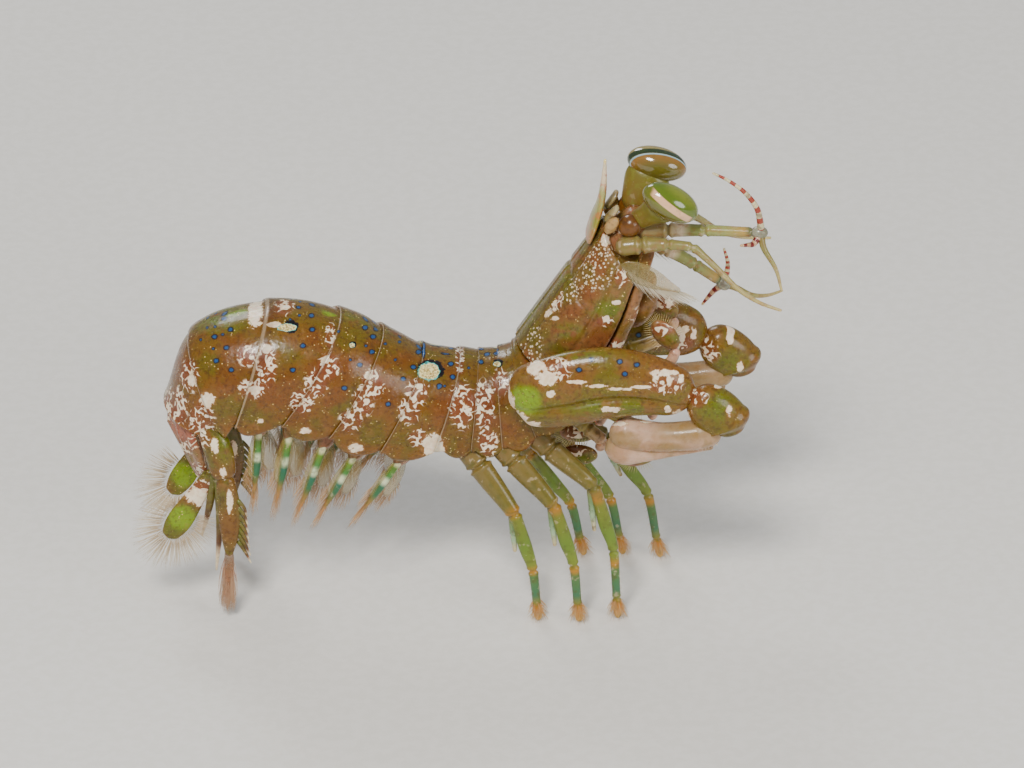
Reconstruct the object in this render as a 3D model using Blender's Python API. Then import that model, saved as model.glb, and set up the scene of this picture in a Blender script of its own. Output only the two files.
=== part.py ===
"""A life-size mantis shrimp, standing on its walking legs and tail fan with its head raised.

Every shape is written in millimetres in the animal's own frame: +X towards the head, +Y to its left, +Z up from
the floor it stands on. The last step moves the whole animal so that its bounding box is centred on x = y = 0.
"""

import math

import bmesh
import bpy
import numpy as np
from mathutils import Matrix, Vector

MM = 0.001
GAP = 0.3
TRIM_CLEARANCE = 0.34

RIGHT, LEFT = -1, 1
SIDE_LETTER = {RIGHT: "R", LEFT: "L"}

# Joint planes of the body from tail to neck: (dorsal x, z), (ventral x, z), half width.
JOINTS = {
    "telson": ((16.4, 22.3), (21.4, 20.0), 4.6),
    "abdomen_6": ((19.4, 29.8), (22.2, 20.6), 5.6),
    "abdomen_5": ((27.3, 32.6), (23.6, 21.3), 6.3),
    "abdomen_4": ((34.7, 31.5), (28.3, 21.4), 6.3),
    "abdomen_3": ((38.7, 29.6), (33.0, 19.9), 6.1),
    "abdomen_2": ((42.7, 27.6), (38.2, 18.2), 5.8),
    "abdomen_1": ((46.6, 27.1), (44.2, 18.3), 5.4),
    "thorax_8": ((48.1, 27.1), (47.6, 18.2), 5.2),
    "thorax_7": ((50.0, 27.5), (50.9, 18.5), 5.0),
    "thorax_6": ((51.2, 28.2), (54.3, 19.9), 4.8),
    "thorax_5": ((51.5, 29.0), (59.1, 23.8), 4.7),
}
SOMITES = list(JOINTS)[1:]
REAR_FLARE, FRONT_FLARE = 1.025, 0.97
TERGUM_ARC = math.radians(104)
ARC_STEPS = 6
WIDEST_AT = 0.36
# Each side plate hangs below the belly: outer edge, tip and inner edge, as shares of half width and depth.
PLEURON = [(0.93, 0.05), (0.87, 0.0), (0.80, 0.06)]
BELLY_HEIGHT = 0.11

# The carapace and the sternum under it run up from the neck along one straight axis.
CARAPACE_START = Vector((51.5, 0.0, 29.2))
CARAPACE_PITCH = math.radians(57.3)
CARAPACE_LENGTH = 16.0
CARAPACE_DEPTHS = (9.1, 9.0, 8.8, 8.2, 7.2, 6.2)
CARAPACE_HALF_WIDTHS = (4.7, 4.9, 4.95, 4.7, 4.2, 3.4)
CARAPACE_SHARE = 0.76
CARAPACE_SWEEP = 1.6
SHIELD_WIDEST_AT = 0.46

MATERIALS = {
    "shell": ((0.33, 0.19, 0.09), 0.35),
    "carapace": ((0.40, 0.24, 0.13), 0.35),
    "belly": ((0.45, 0.30, 0.18), 0.45),
    "claw": ((0.37, 0.22, 0.09), 0.3),
    "claw_tip": ((0.62, 0.38, 0.28), 0.3),
    "eye": ((0.18, 0.27, 0.03), 0.12),
    "stalk": ((0.36, 0.29, 0.12), 0.4),
    "feeler": ((0.50, 0.44, 0.24), 0.4),
    "leg": ((0.36, 0.42, 0.12), 0.4),
    "swimmeret": ((0.45, 0.36, 0.22), 0.45),
    "tail_fan": ((0.38, 0.36, 0.10), 0.4),
}

pieces = {}


def clear_scene():
    """Remove whatever the file opened with."""
    for found in list(bpy.data.objects):
        bpy.data.objects.remove(found)


def make_collection(name):
    """Return a new collection linked to the scene."""
    made = bpy.data.collections.new(name)
    bpy.context.scene.collection.children.link(made)
    return made


def make_material(name):
    """Return the Principled material of that name."""
    colour, roughness = MATERIALS[name]
    made = bpy.data.materials.new(name)
    made.use_nodes = True
    shader = made.node_tree.nodes["Principled BSDF"]
    shader.inputs["Base Color"].default_value = (*colour, 1.0)
    shader.inputs["Roughness"].default_value = roughness
    shader.inputs["Metallic"].default_value = 0.0
    return made


def curve_through(stations, per_span):
    """Rows on a smooth curve through the stations, with per_span rows to each stretch between two of them."""
    known = np.array(stations, float)
    ends = np.vstack([2 * known[0] - known[1], known, 2 * known[-1] - known[-2]])
    rows = []
    for a, b, c, d in zip(ends, ends[1:], ends[2:], ends[3:]):
        for t in np.arange(per_span) / per_span:
            rows.append(
                0.5 * (2 * b + (c - a) * t + (2 * a - 5 * b + 4 * c - d) * t**2 + (3 * (b - c) + d - a) * t**3)
            )
    return np.array(rows + [known[-1]])


def skin_rings(rings):
    """A closed bmesh through rings of equally many points, capped at both ends."""
    bm = bmesh.new()
    loops = [[bm.verts.new(point) for point in ring] for ring in rings]
    for lower, upper in zip(loops, loops[1:]):
        for i in range(len(lower)):
            j = (i + 1) % len(lower)
            bm.faces.new((lower[i], lower[j], upper[j], upper[i]))
    bm.faces.new(loops[0])
    bm.faces.new(loops[-1])
    bmesh.ops.triangulate(bm, faces=bm.faces)
    bmesh.ops.recalc_face_normals(bm, faces=bm.faces)
    return bm


def limb(stations, across=(0, 1, 0), sides=8, per_span=2, foot=False):
    """A tapering limb through stations of x, y, z, in-plane radius and radius along the across direction."""
    rows = curve_through(stations, per_span)
    across = Vector(across)
    rings = []
    for i, row in enumerate(rows):
        ahead = Vector(rows[min(i + 1, len(rows) - 1)][:3] - rows[max(i - 1, 0)][:3])
        if foot and i == len(rows) - 1:
            ahead = Vector((0, 0, -1))
        side = across.cross(ahead).normalized()
        top = ahead.normalized().cross(side)
        wide, thick = max(row[3], 0.12), max(row[4], 0.12)
        turns = [2 * math.pi * k / sides for k in range(sides)]
        rings.append([Vector(row[:3]) + side * wide * math.cos(a) + top * thick * math.sin(a) for a in turns])
    return skin_rings(rings)


def spike(root, tip, radius, sides=6):
    """A straight tapering spine from root to tip."""
    root, tip = Vector(root), Vector(tip)
    turn = (tip - root).to_track_quat("Z", "Y").to_matrix().to_4x4()
    place = Matrix.Translation((root + tip) / 2) @ turn
    bm = bmesh.new()
    bmesh.ops.create_cone(
        bm,
        cap_ends=True,
        segments=sides,
        radius1=radius,
        radius2=0.12,
        depth=(tip - root).length,
        matrix=place,
    )
    return bm


def ball(centre, axis, along, radii, segments=12):
    """An ellipsoid with its radii along axis, along and the direction square to both."""
    axis = Vector(axis).normalized()
    third = axis.cross(Vector(along)).normalized()
    second = third.cross(axis)
    turn = Matrix((second, third, axis)).transposed().to_4x4()
    grow = Matrix.Diagonal((radii[1], radii[2], radii[0], 1.0))
    bm = bmesh.new()
    bmesh.ops.create_uvsphere(
        bm,
        u_segments=segments,
        v_segments=segments // 2 + 1,
        radius=1.0,
        matrix=Matrix.Translation(centre) @ turn @ grow,
    )
    return bm


def vane(root, tip, width, bend=(0, 0, 0), across=(0, 1, 0)):
    """One flat bristle bundle, broad at its sunk root and drawn out to a fine tip."""
    root, tip, bend = Vector(root), Vector(tip), Vector(bend)
    middle = root.lerp(tip, 0.55) + bend
    stations = [
        (*root, width, 0.26),
        (*middle, width * 0.7, 0.25),
        (*tip, 0.13, 0.13),
    ]
    return limb(stations, across, sides=4, per_span=1)


def place(name, bm, material):
    """Turn a bmesh in millimetres into an object in metres."""
    bmesh.ops.scale(bm, verts=bm.verts, vec=(MM, MM, MM))
    mesh = bpy.data.meshes.new(name)
    bm.to_mesh(mesh)
    bm.free()
    mesh.materials.append(materials[material])
    made = bpy.data.objects.new(name, mesh)
    animal.objects.link(made)
    pieces[name] = made
    return made


def keep_largest(mesh):
    """Drop every loose scrap of the mesh but the one with the largest volume."""
    bm = bmesh.new()
    bm.from_mesh(mesh)
    bmesh.ops.dissolve_degenerate(bm, edges=bm.edges, dist=1e-6)
    left = set(bm.faces)
    islands = []
    while left:
        island, edge = set(), [left.pop()]
        while edge:
            face = edge.pop()
            island.add(face)
            near = {other for side in face.edges for other in side.link_faces} & left
            left -= near
            edge.extend(near)
        islands.append(island)
    centre = sum((v.co for v in bm.verts), Vector()) / max(len(bm.verts), 1)
    sizes = [
        abs(sum((f.calc_center_median() - centre).dot(f.normal) * f.calc_area() for f in island))
        for island in islands
    ]
    best = islands[sizes.index(max(sizes))]
    bmesh.ops.delete(bm, geom=[f for f in bm.faces if f not in best], context="FACES")
    bmesh.ops.delete(bm, geom=[e for e in bm.edges if not e.link_faces], context="EDGES")
    bm.to_mesh(mesh)
    bm.free()


def apply_boolean(target, operation, others):
    """Join the others to the target, or cut them from it, and keep one closed body."""
    group = make_collection("tools")
    for other in others:
        group.objects.link(other)
    modifier = target.modifiers.new("boolean", "BOOLEAN")
    modifier.operand_type = "COLLECTION"
    modifier.collection = group
    modifier.operation = operation
    modifier.solver = "MANIFOLD"
    bpy.context.view_layer.update()
    graph = bpy.context.evaluated_depsgraph_get()
    made = bpy.data.meshes.new_from_object(target.evaluated_get(graph))
    target.modifiers.clear()
    old = target.data
    target.data = made
    made.name = target.name
    bpy.data.meshes.remove(old)
    keep_largest(made)
    for other in others:
        bpy.data.objects.remove(other)
    bpy.data.collections.remove(group)


def fuse(name, shapes, material):
    """One closed body from several closed shapes that run into each other."""
    target = place(name, shapes[0], material)
    if len(shapes) > 1:
        others = [place(f"{name}_part_{i}", shape, material) for i, shape in enumerate(shapes[1:])]
        for other in others:
            pieces.pop(other.name)
            animal.objects.unlink(other)
        apply_boolean(target, "UNION", others)
    return target


def swollen_copy(source, distance):
    """A copy of a piece with its surface moved out, to cut a neighbour back with."""
    mesh = source.data.copy()
    bm = bmesh.new()
    bm.from_mesh(mesh)
    bmesh.ops.triangulate(bm, faces=bm.faces)
    bm.normal_update()
    moves = [vert.normal * distance * MM * min(vert.calc_shell_factor(), 2.5) for vert in bm.verts]
    for vert, move in zip(bm.verts, moves):
        vert.co += move
    bm.to_mesh(mesh)
    bm.free()
    return bpy.data.objects.new("cutter", mesh)


def trim(name, *neighbours):
    """Cut a piece back so that it meets each neighbour face to face across the gap."""
    for neighbour in neighbours:
        apply_boolean(pieces[name], "DIFFERENCE", [swollen_copy(pieces[neighbour], TRIM_CLEARANCE)])


def body_profile():
    """Half a body section from back to belly: sideways share of the half width, height share of the depth."""
    arc = [
        (math.sin(TERGUM_ARC * i / ARC_STEPS) ** 0.9, WIDEST_AT + (1 - WIDEST_AT) * math.cos(TERGUM_ARC * i / ARC_STEPS))
        for i in range(ARC_STEPS + 1)
    ]
    return arc + PLEURON + [(0.45, BELLY_HEIGHT), (0.0, BELLY_HEIGHT)]


def section_ring(dorsal, ventral, half_width, profile, shift=(0, 0, 0)):
    """The ring of a profile stood between a dorsal and a ventral point of the middle plane."""
    shift = Vector(shift)
    half = [
        (share_out * half_width, ventral.lerp(dorsal, share_up) + shift)
        for share_out, share_up in profile
    ]
    right = [Vector((point.x, -out, point.z)) for out, point in half]
    left = [Vector((point.x, out, point.z)) for out, point in half[-2:0:-1]]
    return right + left


def joint_rows():
    """Rows of dorsal x, z, ventral x, z and half width, one for each joint plane."""
    return [(*dorsal, *ventral, half_width) for dorsal, ventral, half_width in JOINTS.values()]


def add_somites():
    """Body rings from the sixth abdominal one up to the neck, each flared over the one behind it."""
    per_span = 4
    rows = curve_through(joint_rows(), per_span)
    profile = body_profile()
    for i, name in enumerate(SOMITES):
        rings = []
        for k in range(per_span + 1):
            row = rows[i * per_span + k]
            flare = REAR_FLARE + (FRONT_FLARE - REAR_FLARE) * k / per_span
            dorsal, ventral = Vector((row[0], 0, row[1])), Vector((row[2], 0, row[3]))
            ventral_kept = ventral
            dorsal = ventral.lerp(dorsal, flare)
            up = (dorsal - ventral).normalized()
            forward = Vector((up.z, 0, -up.x))
            shift = forward * (GAP / 2) * ((k == 0) - (k == per_span))
            rings.append(section_ring(dorsal, ventral_kept, row[4] * flare, profile, shift))
        place(name, skin_rings(rings), "shell")


def carapace_axis(share, out):
    """A point of the middle plane at a share of the carapace's length and a depth under its back."""
    ahead = Vector((math.cos(CARAPACE_PITCH), 0, math.sin(CARAPACE_PITCH)))
    down = Vector((math.sin(CARAPACE_PITCH), 0, -math.cos(CARAPACE_PITCH)))
    return CARAPACE_START + ahead * CARAPACE_LENGTH * share + down * out


def add_carapace():
    """The shield over the head, and the sternum that closes the head and thorax below it."""
    ahead = Vector((math.cos(CARAPACE_PITCH), 0, math.sin(CARAPACE_PITCH)))
    count = len(CARAPACE_DEPTHS)
    shield, floor = [], []
    edge_height = 1 - CARAPACE_SHARE
    lid_height = edge_height - GAP / CARAPACE_DEPTHS[0]
    for k, (depth, half_width) in enumerate(zip(CARAPACE_DEPTHS, CARAPACE_HALF_WIDTHS)):
        share = k / (count - 1)
        dorsal, ventral = carapace_axis(share, 0), carapace_axis(share, depth)
        arc = [
            (math.sin(a) ** 0.85, SHIELD_WIDEST_AT + (1 - SHIELD_WIDEST_AT) * math.cos(a))
            for a in np.linspace(0, math.pi / 2, ARC_STEPS + 1)
        ]
        under = [(0.97, edge_height + 0.04), (0.90, edge_height), (0.80, edge_height), (0.0, edge_height)]
        ring = section_ring(dorsal, ventral, half_width, arc + under)
        for point in ring:
            out = abs(point.y) / half_width
            if k == count - 1:
                point -= ahead * CARAPACE_SWEEP * out**2
            if k == 0:
                point += ahead * (GAP / 2 + 0.6 * (1 - out) ** 2 * 0.5)
        shield.append(ring)
        lid = [(0.0, lid_height), (0.80, lid_height)]
        belly = [(0.82, 0.12), (0.68, 0.03), (0.35, 0.0), (0.0, 0.0)]
        shift = ahead * (GAP / 2) * (k == 0)
        floor.append(section_ring(dorsal, ventral, half_width, lid + belly, shift))
    place("carapace", skin_rings(shield), "carapace")
    place("sternum", skin_rings(floor), "belly")


def add_head():
    """The narrow front of the head, the rostral plate over it and the mouthparts below."""
    front = limb(
        [
            (60.6, 0, 38.6, 1.7, 2.3),
            (62.2, 0, 40.9, 1.8, 2.3),
            (63.6, 0, 42.7, 1.5, 2.0),
            (64.4, 0, 43.6, 0.8, 1.2),
        ],
        sides=10,
    )
    place("head_front", front, "belly")
    trim("head_front", "carapace", "sternum")
    plate = [
        (58.9, 0, 41.4, 0.35, 2.0),
        (59.6, 0, 43.0, 0.34, 1.9),
        (60.0, 0, 44.6, 0.32, 1.2),
        (60.2, 0, 46.4, 0.30, 0.5),
        (60.3, 0, 49.3, 0.13, 0.13),
    ]
    place("rostral_plate", limb(plate, sides=8), "shell")
    trim("rostral_plate", "carapace", "head_front")
    lobes = [ball((64.1, side * 0.8, 32.9), (0.5, 0, 0.85), (0, 1, 0), (2.3, 1.1, 1.2), 10) for side in (RIGHT, LEFT)]
    labrum = ball((64.5, 0, 35.4), (0.5, 0, 0.85), (0, 1, 0), (1.3, 1.3, 1.0), 8)
    fuse("mouthparts", [*lobes, labrum], "belly")
    trim("mouthparts", "sternum")


# Each eye: stalk root, middle of the cornea, the cornea's long direction, the stalk's half width at its middle and end.
EYES = {
    RIGHT: ((63.2, -1.2, 42.9), (66.7, -4.0, 46.6), (0.87, 0.0, -0.49), 1.3, 2.0),
    LEFT: ((62.7, 1.2, 42.9), (65.5, 2.8, 47.3), (0.97, -0.10, -0.22), 1.9, 2.4),
}
CORNEA_RADII = (3.0, 1.7, 1.75)


def add_eyes():
    """Two stalked eyes, each with an oval cornea set across the end of its stalk."""
    for side, (root, centre, along, neck, end_width) in EYES.items():
        letter = SIDE_LETTER[side]
        root, centre, along = Vector(root), Vector(centre), Vector(along)
        axis = (centre - root).normalized()
        across = axis.cross(along).normalized()
        place(f"cornea_{letter}", ball(centre, along, axis, CORNEA_RADII, 14), "eye")
        middle, end = root.lerp(centre, 0.45), root.lerp(centre, 0.88)
        stations = [
            (*root, 0.95, 0.9),
            (*middle, neck, 1.1),
            (*end, end_width, 1.45),
            (*centre, end_width * 0.9, 1.2),
        ]
        place(f"eye_stalk_{letter}", limb(stations, across, sides=10), "stalk")
        trim(f"eye_stalk_{letter}", "head_front", f"cornea_{letter}")


# Antennule: joints of the stalk from root to end, and the routes of its three flagella from that end.
ANTENNULES = {
    RIGHT: (
        [(62.9, -0.9, 41.6), (66.6, -1.4, 42.1), (70.2, -1.8, 42.3), (75.0, -2.2, 42.3)],
        [
            [(75.6, -2.5, 43.6), (75.2, -2.8, 45.4), (74.0, -3.0, 47.2), (72.4, -3.2, 48.6), (70.8, -3.4, 49.6)],
            [(75.0, -3.0, 41.5), (74.4, -3.5, 41.6), (73.6, -4.0, 41.8)],
            [(76.0, -2.9, 40.9), (77.2, -3.4, 38.8), (77.8, -3.8, 36.6)],
        ],
    ),
    LEFT: (
        [(62.9, 0.9, 40.4), (66.5, 1.9, 38.2), (69.4, 2.8, 35.9), (71.9, 3.6, 33.6)],
        [
            [(72.6, 3.9, 34.2), (72.7, 4.2, 35.4), (72.3, 4.4, 36.9)],
            [(71.5, 4.0, 32.4), (70.8, 4.2, 31.4), (70.2, 4.4, 30.4)],
            [(73.6, 4.3, 32.4), (75.2, 5.0, 31.2), (76.8, 6.0, 30.6), (78.4, 7.0, 30.6)],
        ],
    ),
}


def add_antennules():
    """First feelers: a jointed stalk of three lengths, ending in three fine flagella."""
    for side, (stalk, routes) in ANTENNULES.items():
        letter = SIDE_LETTER[side]
        radii = (0.95, 0.78, 0.66, 0.6)
        stations = [(*point, radius, radius) for point, radius in zip(stalk, radii)]
        place(f"antennule_{letter}", limb(stations, sides=8), "feeler")
        trim(f"antennule_{letter}", "head_front", "sternum", "carapace")
        end = Vector(stalk[-1])
        back = (end - Vector(stalk[-2])).normalized()
        threads = []
        for route in routes:
            points = [tuple(end - back * 0.2), tuple(end + back * 0.7), *route]
            thick = np.linspace(0.42, 0.25, len(points))
            rows = [(*point, r, r) for point, r in zip(points, thick)]
            threads.append(limb(rows, (0.1, 1, 0.2), sides=5, per_span=2))
        hub = ball(end + back * 0.55, back, (0, 1, 0), (0.8, 0.62, 0.62), 8)
        fuse(f"antennule_flagella_{letter}", [hub, *threads], "feeler")
        trim(f"antennule_flagella_{letter}", f"antennule_{letter}")


# Antenna: joints of the stalk given on the left, flagellum route, and the two ends of its scale.
ANTENNA_STALK = [(61.4, 2.7, 40.9), (64.2, 2.9, 41.3), (66.8, 3.1, 41.4), (68.9, 3.3, 41.2)]
ANTENNA_ROUTES = {
    RIGHT: [(70.2, 3.5, 40.2), (71.8, 3.7, 38.6), (73.6, 4.0, 36.8), (75.6, 4.4, 35.6), (77.8, 5.0, 35.0)],
    LEFT: [(70.0, 4.0, 40.3), (71.4, 5.0, 38.8), (73.0, 6.6, 37.2), (75.0, 8.2, 36.0), (77.2, 9.2, 35.4)],
}
SCALE_ENDS = ((61.9, 3.6, 39.4), (67.8, 4.6, 37.0))
FRINGE_ANGLE = Vector((0.55, 0.1, -0.83))


def mirrored(point, side):
    """The point on that side of the animal, for a point given on the left."""
    return (point[0], point[1] * side, point[2])


def add_antennae():
    """Second feelers: a stalk with one flagellum, and an oval scale fringed with bristles."""
    for side in (RIGHT, LEFT):
        letter = SIDE_LETTER[side]
        route = ANTENNA_STALK + ANTENNA_ROUTES[side]
        radii = [1.15, 1.0, 0.62, 0.5] + list(np.linspace(0.4, 0.25, len(ANTENNA_ROUTES[side])))
        stations = [(*mirrored(point, side), r, r) for point, r in zip(route, radii)]
        place(f"antenna_{letter}", limb(stations, sides=7, per_span=2), "feeler")
        trim(f"antenna_{letter}", "head_front", "carapace", "sternum")
        root, tip = (Vector(mirrored(point, side)) for point in SCALE_ENDS)
        widths = (0.5, 1.0, 1.1, 0.85, 0.3)
        blade = limb(
            [(*root.lerp(tip, i / 4), width, 0.3) for i, width in enumerate(widths)],
            (0, 1, 0.15 * side),
            sides=6,
            per_span=1,
        )
        fringe = []
        for i in range(7):
            share = 0.12 + 0.135 * i
            start = root.lerp(tip, share) + Vector((0, 0, -0.4))
            reach = 1.8 + 1.1 * math.sin(math.pi * share)
            end = start + Vector(mirrored(FRINGE_ANGLE, side)) * reach
            fringe.append(spike(start, end, 0.28, 4))
        fuse(f"antennal_scale_{letter}", [blade, *fringe], "feeler")
        trim(f"antennal_scale_{letter}", f"antenna_{letter}", "carapace", "sternum", "head_front")


# Raptorial claws, given on the left. Each row is x, y, z, half depth, half thickness.
CLAW_BASE = [(58.6, 3.0, 26.4, 1.1, 1.0), (56.2, 5.4, 24.6, 1.3, 1.1), (53.6, 7.0, 25.4, 1.7, 1.3)]
MERUS = [
    (50.9, 7.4, 26.2, 1.7, 1.1),
    (52.4, 7.4, 26.6, 3.2, 1.8),
    (56.0, 7.4, 27.3, 4.0, 2.1),
    (60.6, 7.4, 28.2, 3.9, 2.1),
    (65.2, 7.4, 27.8, 3.2, 1.9),
    (69.2, 7.4, 26.4, 2.2, 1.4),
]
CARPUS = [(68.6, 7.4, 26.8, 1.4, 1.2), (70.6, 7.4, 25.6, 2.4, 1.7), (72.4, 7.4, 23.8, 2.4, 1.6), (72.9, 7.4, 22.2, 1.4, 1.1)]
PROPODUS = [
    (72.0, 7.4, 22.9, 1.2, 1.1),
    (69.8, 7.4, 22.3, 1.5, 1.4),
    (66.0, 7.4, 22.0, 1.5, 1.4),
    (62.6, 7.4, 22.4, 1.7, 1.5),
    (60.9, 7.4, 22.9, 1.5, 1.3),
]
DACTYL = [
    (60.9, 7.4, 21.9, 0.9, 0.8),
    (62.2, 7.4, 20.6, 1.6, 1.2),
    (64.3, 7.4, 20.3, 1.1, 0.9),
    (67.2, 7.4, 20.4, 0.6, 0.55),
    (71.2, 7.4, 20.9, 0.3, 0.3),
]
CLAW_SHIFT = {RIGHT: Vector((0, 0, 0)), LEFT: Vector((1.6, 0, -1.65))}


def claw_rows(rows, side, shift):
    """Stations of a claw length on one side, moved by that claw's pose."""
    return [(x + shift.x, y * side, z + shift.z, deep, thick) for x, y, z, deep, thick in rows]


def add_claws():
    """The two folded raptorial claws, with the inflated heel of each dactyl below."""
    for side in (RIGHT, LEFT):
        letter, shift = SIDE_LETTER[side], CLAW_SHIFT[side]
        base_rows = claw_rows(CLAW_BASE, side, Vector())
        base_rows[-1] = (base_rows[-1][0] + shift.x, *base_rows[-1][1:])
        base = limb(base_rows, (0.2, 1, 0), sides=8)
        merus = limb(claw_rows(MERUS, side, shift), sides=12)
        fuse(f"claw_merus_{letter}", [merus, base], "claw")
        trim(f"claw_merus_{letter}", "sternum", "thorax_5", "thorax_6", "thorax_7", "carapace")
        place(f"claw_carpus_{letter}", limb(claw_rows(CARPUS, side, shift), sides=10), "claw")
        trim(f"claw_carpus_{letter}", f"claw_merus_{letter}")
        propodus = limb(claw_rows(PROPODUS, side, shift), sides=10)
        place(f"claw_propodus_{letter}", propodus, "claw_tip")
        trim(f"claw_propodus_{letter}", f"claw_carpus_{letter}", f"claw_merus_{letter}")
        place(f"claw_dactyl_{letter}", limb(claw_rows(DACTYL, side, shift), sides=10), "claw_tip")
        trim(f"claw_dactyl_{letter}", f"claw_propodus_{letter}", f"claw_carpus_{letter}")


# Third to fifth maxillipeds on the left: root, knees and the middle of the hand, with the hand's direction.
MAXILLIPEDS = {
    3: ([(59.0, 1.9, 26.9), (62.6, 2.4, 26.4), (66.4, 3.0, 27.6), (67.6, 3.1, 29.6)], (66.4, 3.1, 31.2), (-0.6, 0, 0.8)),
    4: ([(58.0, 1.8, 24.6), (60.9, 2.2, 22.0), (64.4, 2.9, 20.0), (65.6, 2.6, 18.2)], (64.0, 2.4, 16.9), (-0.9, 0, -0.3)),
    5: ([(55.7, 2.1, 22.9), (58.6, 2.8, 20.4), (60.2, 2.7, 18.8), (59.8, 2.4, 17.6)], (57.9, 2.2, 16.9), (-1, 0, 0.05)),
}


def add_maxillipeds():
    """Small grasping limbs folded under the mouth, each ending in an oval hand."""
    for number, (route, hand, along) in MAXILLIPEDS.items():
        for side in (RIGHT, LEFT):
            name = f"maxilliped_{number}_{SIDE_LETTER[side]}"
            radii = (0.85, 0.72, 0.6, 0.5)
            stations = [(*mirrored(point, side), r, r) for point, r in zip(route, radii)]
            arm = limb(stations, sides=6)
            palm = ball(mirrored(hand, side), mirrored(along, side), (0, 0, 1), (1.9, 1.1, 0.55), 8)
            fuse(name, [arm, palm], "leg")
            trim(name, "sternum", "thorax_5", "thorax_6", "mouthparts")


# Walking legs: for each side the root, two knees and the foot, from the last thoracic somite forwards.
LEGS = {
    RIGHT: {
        3: [(45.9, -3.2, 19.4), (51.5, -6.0, 12.2), (53.3, -6.3, 5.8), (53.9, -6.4, 0)],
        2: [(49.2, -3.2, 19.6), (55.4, -6.2, 13.4), (57.4, -6.6, 6.6), (58.0, -6.7, 0)],
        1: [(52.6, -3.0, 20.4), (59.4, -5.2, 15.0), (61.4, -5.8, 7.8), (61.9, -6.0, 0)],
    },
    LEFT: {
        3: [(45.9, 3.2, 19.4), (53.0, 5.6, 12.6), (57.2, 6.0, 6.2), (58.6, 6.2, 0)],
        2: [(49.2, 3.2, 19.6), (56.8, 5.8, 13.6), (61.2, 6.2, 6.8), (62.6, 6.4, 0)],
        1: [(52.6, 3.0, 20.4), (60.6, 5.0, 15.0), (65.0, 5.6, 7.6), (66.4, 5.8, 0)],
    },
}
LEG_SOMITE = {1: "thorax_6", 2: "thorax_7", 3: "thorax_8"}


def add_legs():
    """Three pairs of slender walking legs, each with a stick-like outer branch at its upper knee."""
    for side, legs in LEGS.items():
        for number, (root, upper, lower, foot) in legs.items():
            root, upper, lower, foot = (Vector(p) for p in (root, upper, lower, foot))
            ankle = lower.lerp(foot, 0.62)
            stations = [
                (*root, 1.25, 1.0),
                (*root.lerp(upper, 0.5), 1.15, 0.85),
                (*root.lerp(upper, 0.9), 0.85, 0.7),
                (*upper.lerp(lower, 0.1), 0.62, 0.55),
                (*upper.lerp(lower, 0.6), 0.68, 0.5),
                (*lower, 0.5, 0.42),
                (*ankle, 0.42, 0.36),
                (*lower.lerp(foot, 0.86), 0.62, 0.45),
                (*foot, 0.42, 0.36),
            ]
            leg = limb(stations, sides=8, per_span=1, foot=True)
            start = root.lerp(upper, 0.93)
            end = start + (lower - upper) * 0.72 + Vector((-0.9, 0.15 * side, -0.2))
            branch = limb([(*start, 0.34, 0.3), (*start.lerp(end, 0.6), 0.32, 0.28), (*end, 0.2, 0.2)], sides=6, per_span=1)
            name = f"leg_{number}_{SIDE_LETTER[side]}"
            fuse(name, [leg, branch], "leg")
            trim(name, *LEG_NEIGHBOURS[number])


LEG_NEIGHBOURS = {
    1: ("thorax_6", "thorax_7", "thorax_5"),
    2: ("thorax_7", "thorax_8", "thorax_6"),
    3: ("thorax_8", "abdomen_1", "thorax_7"),
}

# Swimmerets by somite: root x, z and tip x, z on the middle line of the near one.
SWIMMERETS = {
    1: ((41.0, 18.9), (37.2, 11.6)),
    2: ((36.3, 19.6), (33.2, 11.6)),
    3: ((33.0, 21.0), (31.0, 12.0)),
    4: ((29.3, 22.2), (28.7, 13.2)),
    5: ((26.0, 22.6), (26.4, 14.0)),
}
SWIMMERET_OUT = 3.6
SWIMMERET_TWIST = math.radians(45)
SWIMMERET_RAYS = 3
STEM_SUNK = 2.4


def add_swimmerets():
    """Five pairs of swimmerets: two leaves on a short stalk, set obliquely to the body, fringed at their tips."""
    for number, (root, tip) in SWIMMERETS.items():
        for side in (RIGHT, LEFT):
            top = Vector((root[0], side * SWIMMERET_OUT, root[1]))
            end = Vector((tip[0], side * SWIMMERET_OUT, tip[1]))
            length = (end - top).length
            down = (end - top).normalized()
            rear = Vector((down.z, 0, -down.x))
            wide = rear * math.sin(SWIMMERET_TWIST) + Vector((0, side, 0)) * math.cos(SWIMMERET_TWIST)
            thin = down.cross(wide)
            stem = [(*(top - down * STEM_SUNK), 1.0, 0.9), (*(top + down * 1.2), 1.1, 0.75), (*(top + down * 2.8), 0.9, 0.4)]
            shapes = [limb(stem, thin, sides=6, per_span=1)]
            for part in (1, -1):
                fork = top + down * 2.0 + wide * part * 0.4
                heading = (down * length * 0.6 + wide * part * 0.85).normalized()
                spread = thin.cross(heading)
                leaf = length * 0.6
                rows = [
                    (*fork, 0.45, 0.3),
                    (*(fork + heading * leaf * 0.4), 1.0, 0.27),
                    (*(fork + heading * leaf * 0.8), 0.95, 0.26),
                    (*(fork + heading * leaf), 0.4, 0.25),
                ]
                shapes.append(limb(rows, thin, sides=6, per_span=1))
                for k in range(SWIMMERET_RAYS):
                    fan = 2 * k / (SWIMMERET_RAYS - 1) - 1
                    start = fork + heading * leaf * (0.88 - 0.2 * fan * fan) + spread * 0.6 * fan
                    ray = (heading + spread * 0.6 * fan).normalized()
                    shapes.append(spike(start, start + ray * length * 0.24, 0.27, 4))
            name = f"swimmeret_{number}_{SIDE_LETTER[side]}"
            fuse(name, shapes, "swimmeret")
            trim(name, *[f"abdomen_{n}" for n in (number - 1, number, number + 1) if n])


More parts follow.
